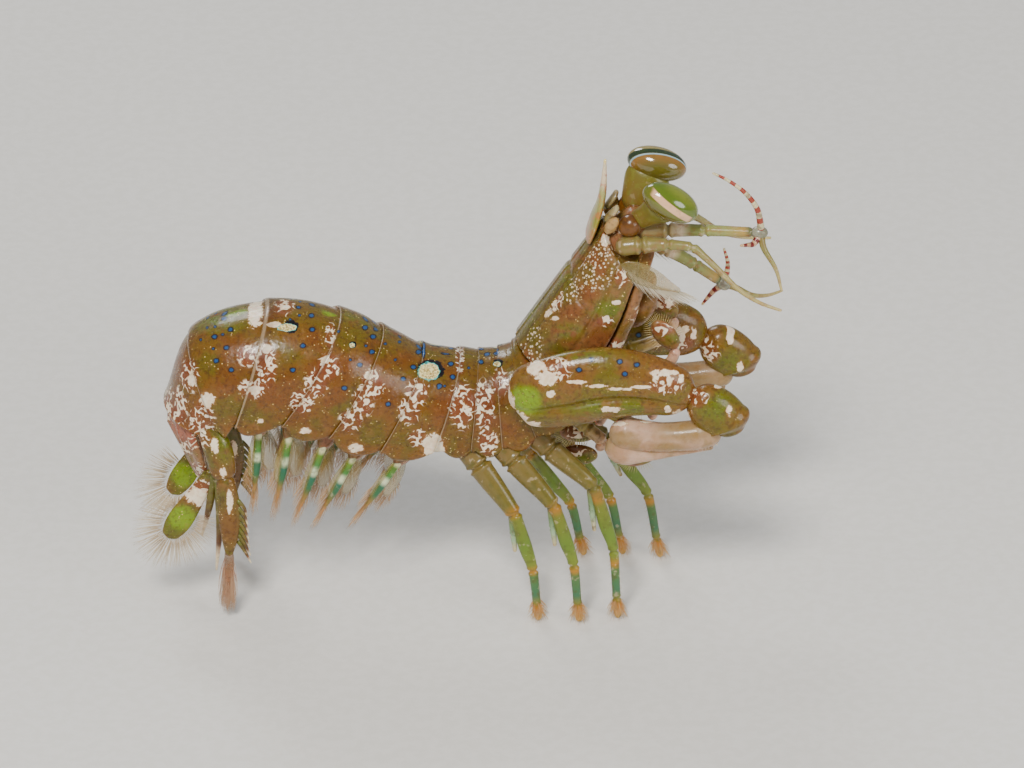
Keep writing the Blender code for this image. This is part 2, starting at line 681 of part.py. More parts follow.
TELSON_BASE, TELSON_TIP = Vector((17.6, 0, 21.2)), Vector((20.0, 0, 13.6))
TELSON_HALF_WIDTHS = (3.6, 4.1, 4.25, 3.95, 3.1)
TELSON_ARCH = 1.3


def add_telson():
    """The arched tail plate with its keel and the teeth of its hind edge."""
    run = TELSON_TIP - TELSON_BASE
    along = run.normalized()
    back = Vector((along.z, 0, -along.x))
    rings = []
    for k, half_width in enumerate(TELSON_HALF_WIDTHS):
        share = k / (len(TELSON_HALF_WIDTHS) - 1)
        centre = TELSON_BASE + run * share
        thick = 0.95 - 0.5 * share
        ring = []
        for out, lift in ((-1, 0), (-0.7, 1), (-0.35, 1), (0, 1.6), (0.35, 1), (0.7, 1), (1, 0), (0.7, -1), (0, -1), (-0.7, -1)):
            arch = TELSON_ARCH * out * out
            ring.append(centre + Vector((0, out * half_width, 0)) + back * (thick * lift - arch))
        rings.append(ring)
    plate = skin_rings(rings)
    teeth = []
    for out, reach in ((0.24, 2.3), (0.6, 2.0), (0.93, 1.5)):
        for side in (RIGHT, LEFT):
            y = out * TELSON_HALF_WIDTHS[-1] * side * 1.12
            root = TELSON_BASE + run * 0.86 + Vector((0, y * 0.97, 0)) - back * TELSON_ARCH * out * out
            teeth.append(spike(root, root + along * (reach + 1.0) + Vector((0, 0.1 * y, 0)), 0.55, 6))
    fuse("telson", [plate, *teeth], "tail_fan")
    trim("telson", "abdomen_6")


FAN_RAYS = 9


def add_uropods():
    """The limbs of the tail fan: stalk with its two-pronged spine, spiny outer blade and fringed inner blade."""
    for side in (RIGHT, LEFT):
        def at(x, out, z):
            return Vector((x, out * side, z))

        stalk = limb(
            [(*at(20.6, 3.9, 22.0), 1.2, 0.9), (*at(21.9, 4.9, 19.0), 1.45, 0.95), (*at(22.5, 5.2, 15.6), 1.25, 0.85)],
            sides=8,
            per_span=1,
        )
        prongs = [
            spike(at(22.0, 4.9, 16.2), at(21.4, 4.3, 4.6), 0.6),
            spike(at(21.4, 4.6, 16.4), at(20.0, 3.9, 8.4), 0.55),
        ]
        outer = limb(
            [
                (*at(22.5, 5.3, 16.4), 0.9, 0.7),
                (*at(22.9, 5.7, 12.6), 1.25, 0.6),
                (*at(22.8, 6.0, 9.6), 1.05, 0.5),
                (*at(22.7, 6.1, 8.2), 0.85, 0.45),
                (*at(22.8, 6.2, 5.6), 1.05, 0.45),
                (*at(22.7, 6.2, 3.4), 0.7, 0.4),
                (*at(22.5, 6.1, 0), 0.5, 0.4),
            ],
            sides=8,
            per_span=1,
            foot=True,
        )
        spines = [
            spike(at(23.6, 5.8, 13.4 - 1.3 * k), at(24.9 + 0.1 * k, 6.1 + 0.05 * k, 11.0 - 1.5 * k), 0.4, 5) for k in range(4)
        ]
        root, tip = at(21.3, 4.5, 16.4), at(16.6, 4.3, 8.4)
        run = tip - root
        heading = run.normalized()
        rear = Vector((heading.z, 0, -heading.x))
        blade_rows = [
            (*root, 0.7, 0.5),
            (*(root + run * 0.3), 1.0, 0.4),
            (*(root + run * 0.72), 1.45, 0.32),
            (*(root + run * 0.93), 1.0, 0.3),
            (*tip, 0.4, 0.26),
        ]
        blade = limb(blade_rows, sides=8, per_span=1)
        rays = []
        for k in range(FAN_RAYS):
            turn = -1.9 + 3.8 * k / (FAN_RAYS - 1)
            ray = heading * math.cos(turn) + rear * math.sin(turn)
            middle = root + run * 0.76
            start = middle + heading * 1.2 * math.cos(turn) + rear * 1.1 * math.sin(turn)
            rays.append(vane(start, start + ray * (4.6 - 0.4 * abs(turn)), 0.3))
        tuft = [
            vane(at(22.6 + 0.5 * k, 6.15, 4.6), at(22.2 + 1.1 * k, 6.2, 0.35), 0.35) for k in (-1, 1)
        ]
        name = f"uropod_{SIDE_LETTER[side]}"
        fuse(name, [stalk, *prongs, outer, *spines, *tuft, blade, *rays], "tail_fan")
        trim(name, "abdomen_6", "telson", "abdomen_5")


def centre_on_floor():
    """Move every piece so that the middle of the animal's bounding box is over the origin."""
    points = np.array([vert.co for piece in pieces.values() for vert in piece.data.vertices])
    middle = (points.min(axis=0) + points.max(axis=0)) / 2
    for piece in pieces.values():
        piece.data.transform(Matrix.Translation((-middle[0], -middle[1], 0)))


clear_scene()
materials = {name: make_material(name) for name in MATERIALS}
animal = make_collection("mantis_shrimp")
add_somites()
add_carapace()
add_head()
add_eyes()
add_antennules()
add_antennae()
add_claws()
add_maxillipeds()
add_legs()
add_swimmerets()
add_telson()
add_uropods()
centre_on_floor()
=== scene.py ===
"""Looks of a life-size mantis shrimp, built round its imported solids.

Sizes are millimetres in the animal's own frame: +X towards the head, +Y to its left, +Z up from the floor.
Markings are placed on the plane of a view from the side and 30 degrees above, folded over the middle of the
back, so that both sides of the animal carry the same ones.
"""

from __future__ import annotations

import logging
import math
from dataclasses import dataclass
from enum import Enum
from typing import Callable, Iterable, Sequence

import bmesh
import bpy
import numpy as np
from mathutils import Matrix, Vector

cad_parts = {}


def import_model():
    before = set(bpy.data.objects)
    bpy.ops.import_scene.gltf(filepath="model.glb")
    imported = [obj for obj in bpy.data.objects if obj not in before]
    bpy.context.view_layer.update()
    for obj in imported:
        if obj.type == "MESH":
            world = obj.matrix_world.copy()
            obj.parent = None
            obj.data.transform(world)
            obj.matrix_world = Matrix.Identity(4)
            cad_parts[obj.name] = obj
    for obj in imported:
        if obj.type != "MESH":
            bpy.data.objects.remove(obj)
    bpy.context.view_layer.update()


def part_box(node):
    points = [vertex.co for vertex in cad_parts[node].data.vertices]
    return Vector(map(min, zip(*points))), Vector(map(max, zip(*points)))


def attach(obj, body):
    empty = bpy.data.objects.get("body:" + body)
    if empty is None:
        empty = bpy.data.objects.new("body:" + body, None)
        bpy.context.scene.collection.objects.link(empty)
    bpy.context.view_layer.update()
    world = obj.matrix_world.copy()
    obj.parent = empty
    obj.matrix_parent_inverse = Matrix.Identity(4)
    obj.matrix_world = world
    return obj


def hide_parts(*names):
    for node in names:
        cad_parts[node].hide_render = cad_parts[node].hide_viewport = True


LOG = logging.getLogger("mantis_shrimp")
MM = 0.001
BAKE_MAP = "OFBake"

Point = Sequence[float]
Rows = Sequence[Point]
Shape = Callable[[np.ndarray, np.ndarray], np.ndarray]
Field = Callable[[np.ndarray, np.ndarray, np.ndarray], np.ndarray]
Colour = tuple[float, float, float]
Socket = bpy.types.NodeSocket

VIEW_TILT = math.radians(30)
MARK_ORIGIN = 59.0
LEFT_EYE = (65.5, 2.8, 47.3)
ACROSS = (0, 1, 0)
FAR_AWAY = 9.0
WELD_METRES = 3e-7
COPY_SPACING = 10.0


class Side(Enum):
    """The animal's right, which faces the camera, and its left."""

    RIGHT = -1
    LEFT = 1

    @property
    def letter(self) -> str:
        """The letter that ends the node names of this side."""
        return self.name[0]

    def point(self, x: float, out: float, z: float) -> tuple[float, float, float]:
        """A point given by its distance out from the middle plane.

        Args:
            x: Place along the animal in mm.
            out: Distance from the middle plane in mm.
            z: Height in mm.

        Returns:
            The point on this side.
        """
        return (x, out * self.value, z)


def srgb(red: int, green: int, blue: int) -> Colour:
    """Linear colour of a screen colour.

    Args:
        red: Red from 0 to 255.
        green: Green from 0 to 255.
        blue: Blue from 0 to 255.

    Returns:
        The linear red, green and blue.
    """
    return tuple(((c / 255 + 0.055) / 1.055) ** 2.4 for c in (red, green, blue))


def unit(vectors: np.ndarray) -> np.ndarray:
    """Vectors of length one.

    Args:
        vectors: Rows of three.

    Returns:
        The rows, each divided by its length.
    """
    return vectors / np.maximum(np.linalg.norm(vectors, axis=-1, keepdims=True), 1e-12)


def smooth_rows(rows: np.ndarray, place: np.ndarray) -> np.ndarray:
    """Values on the smooth curve through rows.

    Args:
        rows: One row of values for each station.
        place: Places along the curve, where whole numbers are stations.

    Returns:
        One row of values for each place.
    """
    known = np.vstack([2 * rows[0] - rows[1], rows, 2 * rows[-1] - rows[-2]])
    place = np.clip(place, 0, len(rows) - 1)
    start = np.minimum(place.astype(int), len(rows) - 2)
    t = (place - start)[:, None]
    a, b, c, d = (known[start + k] for k in range(4))
    return 0.5 * (2 * b + (c - a) * t + (2 * a - 5 * b + 4 * c - d) * t**2 + (3 * (b - c) + d - a) * t**3)


def bell(values: np.ndarray, middle: float, width: float) -> np.ndarray:
    """A smooth bump of height one.

    Args:
        values: Where to read the bump.
        middle: Place of its top.
        width: Distance at which it has fallen to about a third.

    Returns:
        The bump's height at each value.
    """
    return np.exp(-(((values - middle) / width) ** 2))


def arc_share(along: np.ndarray) -> np.ndarray:
    """Shares of a length with the rows of a grid drawn closer together at both ends.

    Args:
        along: Evenly spaced shares.

    Returns:
        The drawn shares.
    """
    return 0.5 - 0.5 * np.cos(math.pi * along)


def mark_plane(points: np.ndarray) -> np.ndarray:
    """Places of points on the plane that markings are drawn on.

    Args:
        points: Rows of x, y, z in mm.

    Returns:
        Rows of distance along the animal and distance down the view, in mm.
    """
    down = MARK_ORIGIN - math.cos(VIEW_TILT) * points[:, 2] + math.sin(VIEW_TILT) * np.abs(points[:, 1])
    return np.column_stack([points[:, 0], down])


def nearest(points: np.ndarray, marks: Rows) -> np.ndarray:
    """How far each point is from the nearest oval mark, where its edge counts as one.

    Args:
        points: Rows of two on the mark plane.
        marks: Rows of middle along, middle down, half length and half height in mm.

    Returns:
        One distance for each point, at most FAR_AWAY.
    """
    far = np.full(len(points), FAR_AWAY)
    for along, down, half_length, half_height in marks:
        away = np.hypot((points[:, 0] - along) / half_length, (points[:, 1] - down) / half_height)
        far = np.minimum(far, away)
    return far


def soft_patches(points: np.ndarray, marks: Rows) -> np.ndarray:
    """A soft field that is one in the middle of each oval patch and fades past its edge.

    Args:
        points: Rows of two on the mark plane.
        marks: Rows as in nearest().

    Returns:
        One value from 0 to 1 for each point.
    """
    return np.exp(-0.9 * np.minimum(nearest(points, marks), 4.0) ** 3)


class Placement:
    """Where the animal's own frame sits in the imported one."""

    shift = Vector((0.0, 0.0, 0.0))

    @classmethod
    def read(cls) -> None:
        """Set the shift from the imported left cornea, whose middle is a known point of the animal."""
        low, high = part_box("cornea_L")
        cls.shift = (low + high) / 2 / MM - Vector(LEFT_EYE)

    @classmethod
    def metres(cls, points: np.ndarray) -> np.ndarray:
        """Packed places of the animal's own points.

        Args:
            points: Rows in mm.

        Returns:
            Rows in metres.
        """
        return (points + np.array(cls.shift)) * MM


def mesh_points(mesh: bpy.types.Mesh) -> np.ndarray:
    """The places of a mesh's vertices.

    Args:
        mesh: The mesh to read.

    Returns:
        Rows of three.
    """
    flat = np.empty(len(mesh.vertices) * 3, np.float32)
    mesh.vertices.foreach_get("co", flat)
    return flat.reshape(-1, 3).astype(float)


def store(mesh: bpy.types.Mesh, name: str, values: np.ndarray) -> None:
    """Keep one number for each vertex, for the materials to read.

    Args:
        mesh: The mesh to write to.
        name: Name of the attribute.
        values: One number for each vertex.
    """
    made = mesh.attributes.new(name, "FLOAT", "POINT")
    made.data.foreach_set("value", np.asarray(values, np.float32))


def finish_mesh(mesh: bpy.types.Mesh, weld: bool = True) -> None:
    """Close the seams of a bent grid, turn its faces outwards and shade it smooth.

    Args:
        mesh: The mesh to finish.
        weld: Whether to merge points that lie together.
    """
    bm = bmesh.new()
    bm.from_mesh(mesh)
    if weld:
        bmesh.ops.remove_doubles(bm, verts=bm.verts, dist=WELD_METRES)
    bmesh.ops.recalc_face_normals(bm, faces=bm.faces)
    for face in bm.faces:
        face.smooth = True
    bm.to_mesh(mesh)
    bm.free()


def grid_mesh(name: str, around: int, along: int) -> bpy.types.Mesh:
    """A flat unit grid, ready to be bent into a surface.

    Args:
        name: Name of the mesh.
        around: Faces across it.
        along: Faces along it.

    Returns:
        The new mesh.
    """
    bm = bmesh.new()
    bmesh.ops.create_grid(bm, x_segments=around, y_segments=along, size=0.5)
    mesh = bpy.data.meshes.new(name)
    bm.to_mesh(mesh)
    bm.free()
    return mesh


def add_object(name: str, mesh: bpy.types.Mesh, finish: Finish, node: str | None = None) -> bpy.types.Object:
    """Put a finished mesh in the scene, riding on the frame.

    Args:
        name: Name of the piece.
        mesh: Its mesh.
        finish: Its finish.
        node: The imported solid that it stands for.

    Returns:
        The new object.
    """
    mesh.materials.clear()
    mesh.materials.append(Finishes.get(finish))
    made = bpy.data.objects.new(name, mesh)
    bpy.context.scene.collection.objects.link(made)
    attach(made, "root")
    if node is not None:
        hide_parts(node)
    LOG.info("%s: %d faces", name, len(mesh.polygons))
    return made


def surface(
    name: str,
    segments: tuple[int, int],
    shape: Shape,
    finish: Finish,
    fields: dict[str, Field] | None = None,
    node: str | None = None,
) -> bpy.types.Object:
    """A closed surface bent from a grid.

    Args:
        name: Name of the piece.
        segments: Faces around and along it.
        shape: Place in mm of each pair of shares around and along.
        finish: Its finish.
        fields: Numbers for the material, each worked out from points, shares around and shares along.
        node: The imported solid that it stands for.

    Returns:
        The new piece.
    """
    mesh = grid_mesh(name, *segments)
    flat = mesh_points(mesh)
    around, along = flat[:, 0] + 0.5, flat[:, 1] + 0.5
    points = shape(around, along)
    mesh.vertices.foreach_set("co", Placement.metres(points).astype(np.float32).ravel())
    store(mesh, "along", arc_share(along))
    for field_name, field in (fields or {}).items():
        store(mesh, field_name, field(points, around, along))
    finish_mesh(mesh)
    return add_object(name, mesh, finish, node)


@dataclass(frozen=True)
class Pinch:
    """A joint that narrows a limb between two swollen rims."""

    at: float
    depth: float = 0.25
    width: float = 0.16
    rim: float = 0.1

    def factor(self, away: np.ndarray) -> np.ndarray:
        """How much of its width the limb keeps.

        Args:
            away: Distances along the limb from the joint in mm.

        Returns:
            One factor for each distance.
        """
        rims = bell(np.abs(away), 2.2 * self.width, self.width)
        return 1 - self.depth * bell(away, 0, self.width) + self.rim * rims


def tube(rows: Rows, across: Point = ACROSS, pinches: Iterable[Pinch] = ()) -> Shape:
    """The shape of a limb with round ends.

    Args:
        rows: Stations of x, y, z, half width in the limb's plane and half width square to it, in mm.
        across: Direction square to the plane that the limb bends in.
        pinches: Its joints, each at a place counted in stations.

    Returns:
        The limb's shape.
    """
    known = np.array(rows, float)
    count = len(known) - 1
    places = np.linspace(0, count, 32 * count + 1)
    steps = np.linalg.norm(np.diff(smooth_rows(known, places)[:, :3], axis=0), axis=1)
    arcs = np.concatenate([[0.0], np.cumsum(steps)])
    ends = np.maximum(known[[0, -1], 3], 0.05)
    thinnest, step = 0.03, 0.02

    def shape(around: np.ndarray, along: np.ndarray) -> np.ndarray:
        arc = arc_share(along) * arcs[-1]
        place = np.interp(arc, arcs, places)
        row = smooth_rows(known, place)
        back, front = (smooth_rows(known, np.clip(place + way, 0, count))[:, :3] for way in (-step, step))
        ahead = unit(front - back)
        side = unit(np.cross(np.array(across, float), ahead))
        top = np.cross(ahead, side)
        size = np.ones(len(arc))
        for gone, end in ((arc, ends[0]), (arcs[-1] - arc, ends[1])):
            size *= np.sqrt(np.clip(1 - (1 - np.minimum(gone / end, 1)) ** 2, 0, 1))
        for pinch in pinches:
            size *= pinch.factor(arc - np.interp(pinch.at, places, arcs))
        angle = 2 * math.pi * around
        wide = (np.maximum(row[:, 3], thinnest) * size * np.cos(angle))[:, None]
        thick = (np.maximum(row[:, 4], thinnest) * size * np.sin(angle))[:, None]
        return row[:, :3] + side * wide + top * thick

    return shape


def oval(centre: Point, axis: Point, up: Point, radii: Point) -> Shape:
    """The shape of an ellipsoid.

    Args:
        centre: Its middle in mm.
        axis: Direction of its first radius.
        up: Direction near its second radius.
        radii: Its three radii in mm.

    Returns:
        The ellipsoid's shape.
    """
    first = unit(np.array(axis, float))
    third = unit(np.cross(first, np.array(up, float)))
    second = np.cross(third, first)

    def shape(around: np.ndarray, along: np.ndarray) -> np.ndarray:
        turn, rise = 2 * math.pi * around, math.pi * along
        parts = (np.cos(rise), np.sin(rise) * np.cos(turn), np.sin(rise) * np.sin(turn))
        directions = (first, second, third)
        return np.array(centre) + sum(
            (part * radius)[:, None] * direction for part, radius, direction in zip(parts, radii, directions)
        )

    return shape


def mirrored(rows: Rows, side: Side) -> list[tuple[float, ...]]:
    """Rows given on the left, moved to one side.

    Args:
        rows: Rows whose second number is the distance out.
        side: Where they go.

    Returns:
        The rows on that side.
    """
    return [(row[0], row[1] * side.value, *row[2:]) for row in rows]


def between(start: np.ndarray, end: np.ndarray, rows: Rows) -> list[tuple[float, ...]]:
    """Stations of a straight length, for tube().

    Args:
        start: Where it starts, in mm.
        end: Where it ends, in mm.
        rows: Rows of share of its length, half width and half thickness in mm.

    Returns:
        One station for each row.
    """
    return [(*(start + share * (end - start)), width, thick) for share, width, thick in rows]


def round_rows(points: Rows, radii: Iterable[float]) -> list[tuple[float, ...]]:
    """Stations of a limb with round sections, for tube().

    Args:
        points: Its places in mm.
        radii: Its radius at each, in mm.

    Returns:
        One station for each place.
    """
    return [(*point, radius, radius) for point, radius in zip(points, radii)]


class Strands:
    """Many fine tapered bristles or teeth in one mesh, made from an array of one."""

    faces_along = 4

    def __init__(self, seed: int, sides: int = 4) -> None:
        """Start with no bristles.

        Args:
            seed: Seed of the small random differences.
            sides: Faces round each bristle.
        """
        self.random = np.random.default_rng(seed)
        self.sides = sides
        self.rows: list[np.ndarray] = []

    def add(self, root: Point, tip: Point, width: float, bend: Point = (0, 0, 0)) -> None:
        """Add one bristle.

        Args:
            root: Where it starts, in mm.
            tip: Where it ends, in mm.
            width: Half its width at the root, in mm.
            bend: How far its middle stands off the straight line, in mm.
        """
        root, tip = np.array(root, float), np.array(tip, float)
        middle = (root + tip) / 2 + np.array(bend, float) * 2
        self.rows.append(np.concatenate([root, middle, tip, [width]]))

    def fan(
        self, roots: Rows, headings: Rows, count: int, reach: Point, width: float, spread: float
    ) -> None:
        """Add bristles side by side along an edge.

        Args:
            roots: Places along the edge, which bristles start between.
            headings: Their directions at those places.
            count: How many there are.
            reach: Their lengths at those places in mm.
            width: Half a bristle's width in mm.
            spread: How much their directions differ at random.
        """
        known = np.array([(*root, *way, far) for root, way, far in zip(roots, headings, reach)], float)
        places = np.linspace(0, len(known) - 1, count)
        for row in smooth_rows(known, places):
            heading = unit(row[3:6]) + self.random.normal(0, spread, 3)
            far = row[6] * self.random.uniform(0.86, 1.04)
            droop = self.random.normal(0, 0.03, 3) * far
            self.add(row[:3], row[:3] + heading * far, width, droop)

    def lay_out(
        self, mesh: bpy.types.Mesh, index: np.ndarray, across: np.ndarray, along: np.ndarray
    ) -> None:
        """Give each bristle a cell of its own on the map that colours are baked through.

        Args:
            mesh: The mesh of all the bristles.
            index: Which bristle each vertex belongs to.
            across: Place of each vertex across its bristle, from -1 to 1.
            along: Place of each vertex along its bristle, from 0 to 1.
        """
        columns = math.ceil(math.sqrt(len(self.rows)))
        u = (index % columns + 0.5 + 0.4 * across) / columns
        v = (index // columns + 0.05 + 0.9 * along) / columns
        corners = np.empty(len(mesh.loops), np.int32)
        mesh.loops.foreach_get("vertex_index", corners)
        layer = mesh.uv_layers.new(name=BAKE_MAP)
        layer.uv.foreach_set("vector", np.column_stack([u, v])[corners].astype(np.float32).ravel())

    def build(self, name: str, finish: Finish, flat: float = 0.7) -> bpy.types.Object:
        """Make the piece.

        Args:
            name: Name of the piece.
            finish: Its finish.
            flat: Thickness of a bristle as a share of its width.

        Returns:
            The new piece.
        """
        template = grid_mesh(name, self.sides, self.faces_along)
        flat_points = mesh_points(template)
        turn, rise = 2 * math.pi * (flat_points[:, 0] + 0.5), flat_points[:, 1] + 0.5
        size = np.minimum(1, 6 * rise) * (1 - rise) ** 0.8
        unit_points = np.column_stack([np.cos(turn) * size, np.sin(turn) * size * flat, rise])
        template.vertices.foreach_set("co", unit_points.astype(np.float32).ravel())
        finish_mesh(template)
        holder = bpy.data.objects.new(name + "_template", template)
        bpy.context.scene.collection.objects.link(holder)
        array = holder.modifiers.new("copies", "ARRAY")
        array.use_relative_offset = False
        array.use_constant_offset = True
        array.constant_offset_displace = (COPY_SPACING, 0.0, 0.0)
        array.count = len(self.rows)
        bpy.context.view_layer.update()
        graph = bpy.context.evaluated_depsgraph_get()
        mesh = bpy.data.meshes.new_from_object(holder.evaluated_get(graph))
        bpy.data.objects.remove(holder)
        points = mesh_points(mesh)
        index = np.rint(points[:, 0] / COPY_SPACING).astype(int)
        row = np.array(self.rows)[index]
        t = points[:, 2:3]
        root, middle, tip, width = row[:, :3], row[:, 3:6], row[:, 6:9], row[:, 9:10]
        spine = (1 - t) ** 2 * root + 2 * t * (1 - t) * middle + t**2 * tip
        ahead = unit(2 * (1 - t) * (middle - root) + 2 * t * (tip - middle))
        side = unit(np.cross(np.array([0.13, 1.0, 0.07]), ahead))
        top = np.cross(ahead, side)
        across = points[:, 0] - COPY_SPACING * index
        spread = side * across[:, None] * width + top * points[:, 1:2] * width
        mesh.vertices.foreach_set("co", Placement.metres(spine + spread).astype(np.float32).ravel())
        self.lay_out(mesh, index, across, t[:, 0])
        store(mesh, "along", t[:, 0])
        store(mesh, "shade", self.random.uniform(0, 1, len(self.rows))[index])
        finish_mesh(mesh, weld=False)
        mesh.name = name
        return add_object(name, mesh, finish)


class Graph:
    """Short ways to add shader nodes to one material."""

    def __init__(self, name: str) -> None:
        """Make the material.

        Args:
            name: Its name.
        """
        self.material = bpy.data.materials.new(name)
        self.material.use_nodes = True
        self.tree = self.material.node_tree
        self.shader = self.tree.nodes["Principled BSDF"]
        self.where = self.tree.nodes.new("ShaderNodeTexCoord").outputs["Object"]

    def link(self, source: Socket, target: Socket) -> None:
        """Join two sockets.

        Args:
            source: An output.
            target: An input.
        """
        self.tree.links.new(source, target)

    def feed(self, socket: Socket, value: object) -> None:
        """Give an input a number, a colour or another node's output.

        Args:
            socket: The input.
            value: What it gets.
        """
        if isinstance(value, Socket):
            self.link(value, socket)
        elif isinstance(value, tuple) and len(value) == 3 and socket.type == "RGBA":
            socket.default_value = (*value, 1.0)
        else:
            socket.default_value = value

    def attribute(self, name: str) -> Socket:
        """A number stored on the mesh.

        Args:
            name: Name of the attribute.

        Returns:
            Its value.
        """
        node = self.tree.nodes.new("ShaderNodeAttribute")
        node.attribute_name = name
        return node.outputs["Fac"]

    def noise(self, per_mm: float, detail: float, rough: float = 0.55, warp: float = 0.0) -> Socket:
        """Cloudy noise.

        Args:
            per_mm: Clouds to a millimetre.
            detail: Layers of finer noise.
            rough: Strength of the finer layers.
            warp: How far the noise is pulled about by itself.

        Returns:
            Its value, about 0.3 to 0.7.
        """
        node = self.tree.nodes.new("ShaderNodeTexNoise")
        node.inputs["Scale"].default_value = per_mm / MM
        node.inputs["Detail"].default_value = detail
        node.inputs["Roughness"].default_value = rough
        node.inputs["Distortion"].default_value = warp
        self.link(self.where, node.inputs["Vector"])
        return node.outputs[0]

    def cells(self, per_mm: float) -> Socket:
        """Distance to the middle of the nearest of many scattered cells.

        Args:
            per_mm: Cells to a millimetre.

        Returns:
            The distance, from 0 to about 1.
        """
        node = self.tree.nodes.new("ShaderNodeTexVoronoi")
        node.inputs["Scale"].default_value = per_mm / MM
        self.link(self.where, node.inputs["Vector"])
        return node.outputs["Distance"]

    def math(self, operation: str, first: object, second: object = 0.0) -> Socket:
        """A sum of two numbers, or another operation on them.

        Args:
            operation: Blender's name of it.
            first: A number or an output.
            second: A number or an output.

        Returns:
            The result.
        """
        node = self.tree.nodes.new("ShaderNodeMath")
        node.operation = operation
        self.feed(node.inputs[0], first)
        self.feed(node.inputs[1], second)
        return node.outputs[0]

    def times(self, first: object, second: object) -> Socket:
        """The product of two numbers or outputs."""
        return self.math("MULTIPLY", first, second)

    def plus(self, first: object, second: object) -> Socket:
        """The sum of two numbers or outputs."""
        return self.math("ADD", first, second)

    def step(self, value: object, low: float, high: float) -> Socket:
        """A smooth step from 0 at low to 1 at high, or the other way where low is the larger.

        Args:
            value: A number or an output.
            low: Where the result is 0.
            high: Where the result is 1.

        Returns:
            The result, from 0 to 1.
        """
        node = self.tree.nodes.new("ShaderNodeMapRange")
        node.interpolation_type = "SMOOTHSTEP"
        rising = low < high
        self.feed(node.inputs["Value"], value)
        node.inputs["From Min"].default_value = min(low, high)
        node.inputs["From Max"].default_value = max(low, high)
        node.inputs["To Min"].default_value = 0.0 if rising else 1.0
        node.inputs["To Max"].default_value = 1.0 if rising else 0.0
        return node.outputs["Result"]

    def mix(self, factor: object, first: object, second: object) -> Socket:
        """A mix of two colours.

        Args:
            factor: Share of the second.
            first: A colour or an output.
            second: A colour or an output.

        Returns:
            The mixed colour.
        """
        node = self.tree.nodes.new("ShaderNodeMix")
        node.data_type = "RGBA"
        self.feed(node.inputs[0], factor)
        self.feed(node.inputs[6], first)
        self.feed(node.inputs[7], second)
        return node.outputs[2]

    def paint(self, below: object, colour: object, mask: Socket, strength: float = 1.0) -> Socket:
        """A colour laid over another where a mask lets it through.

        Args:
            below: The colour or output below.
            colour: The colour or output on top.
            mask: Where it shows, from 0 to 1.
            strength: How much of it shows where the mask is 1.

        Returns:
            The painted colour.
        """
        return self.mix(mask if strength == 1.0 else self.times(mask, strength), below, colour)

    def bump(self, height: object, depth_mm: float, strength: float) -> None:
        """Roughen the surface.

        Args:
            height: Height from 0 to 1.
            depth_mm: Height in mm of 1.
            strength: Share of the bump that shows.
        """
        node = self.tree.nodes.new("ShaderNodeBump")
        node.inputs["Strength"].default_value = strength
        node.inputs["Distance"].default_value = depth_mm * MM
        self.feed(node.inputs["Height"], height)
        self.link(node.outputs["Normal"], self.shader.inputs["Normal"])

    def gloss(self, roughness: float, coat: float = 0.0, glow: float = 0.0, reach_mm: float = 1.0) -> None:
        """Set how the surface takes light.

        Args:
            roughness: Roughness of the surface.
            coat: Weight of a clear coat.
            glow: Share of light that scatters under the surface.
            reach_mm: How far it scatters.
        """
        inputs = self.shader.inputs
        inputs["Roughness"].default_value = roughness
        inputs["Coat Weight"].default_value = coat
        inputs["Coat Roughness"].default_value = 0.08
        inputs["Subsurface Weight"].default_value = glow
        inputs["Subsurface Radius"].default_value = (1.0, 0.55, 0.3)
        inputs["Subsurface Scale"].default_value = reach_mm * MM

    def colour(self, value: object) -> bpy.types.Material:
        """Give the surface its colour.

        Args:
            value: A colour or an output.

        Returns:
            The finished material.
        """
        self.feed(self.shader.inputs["Base Color"], value)
        return self.material


DEEP_BROWN = srgb(70, 40, 20)
GOLD = srgb(236, 206, 134)
WHITE = srgb(244, 226, 200)
PALE = srgb(220, 200, 168)
PINK = srgb(176, 126, 72)
ROSE = srgb(128, 62, 38)
SPOT_BLUE = srgb(36, 78, 128)
INK = srgb(18, 16, 22)
TURQUOISE = srgb(84, 190, 180)
CREAM = srgb(240, 222, 160)
SEED = srgb(166, 140, 76)
MOSS = srgb(92, 106, 12)
LIME = srgb(118, 146, 6)
TAN_WHITE = srgb(228, 200, 166)


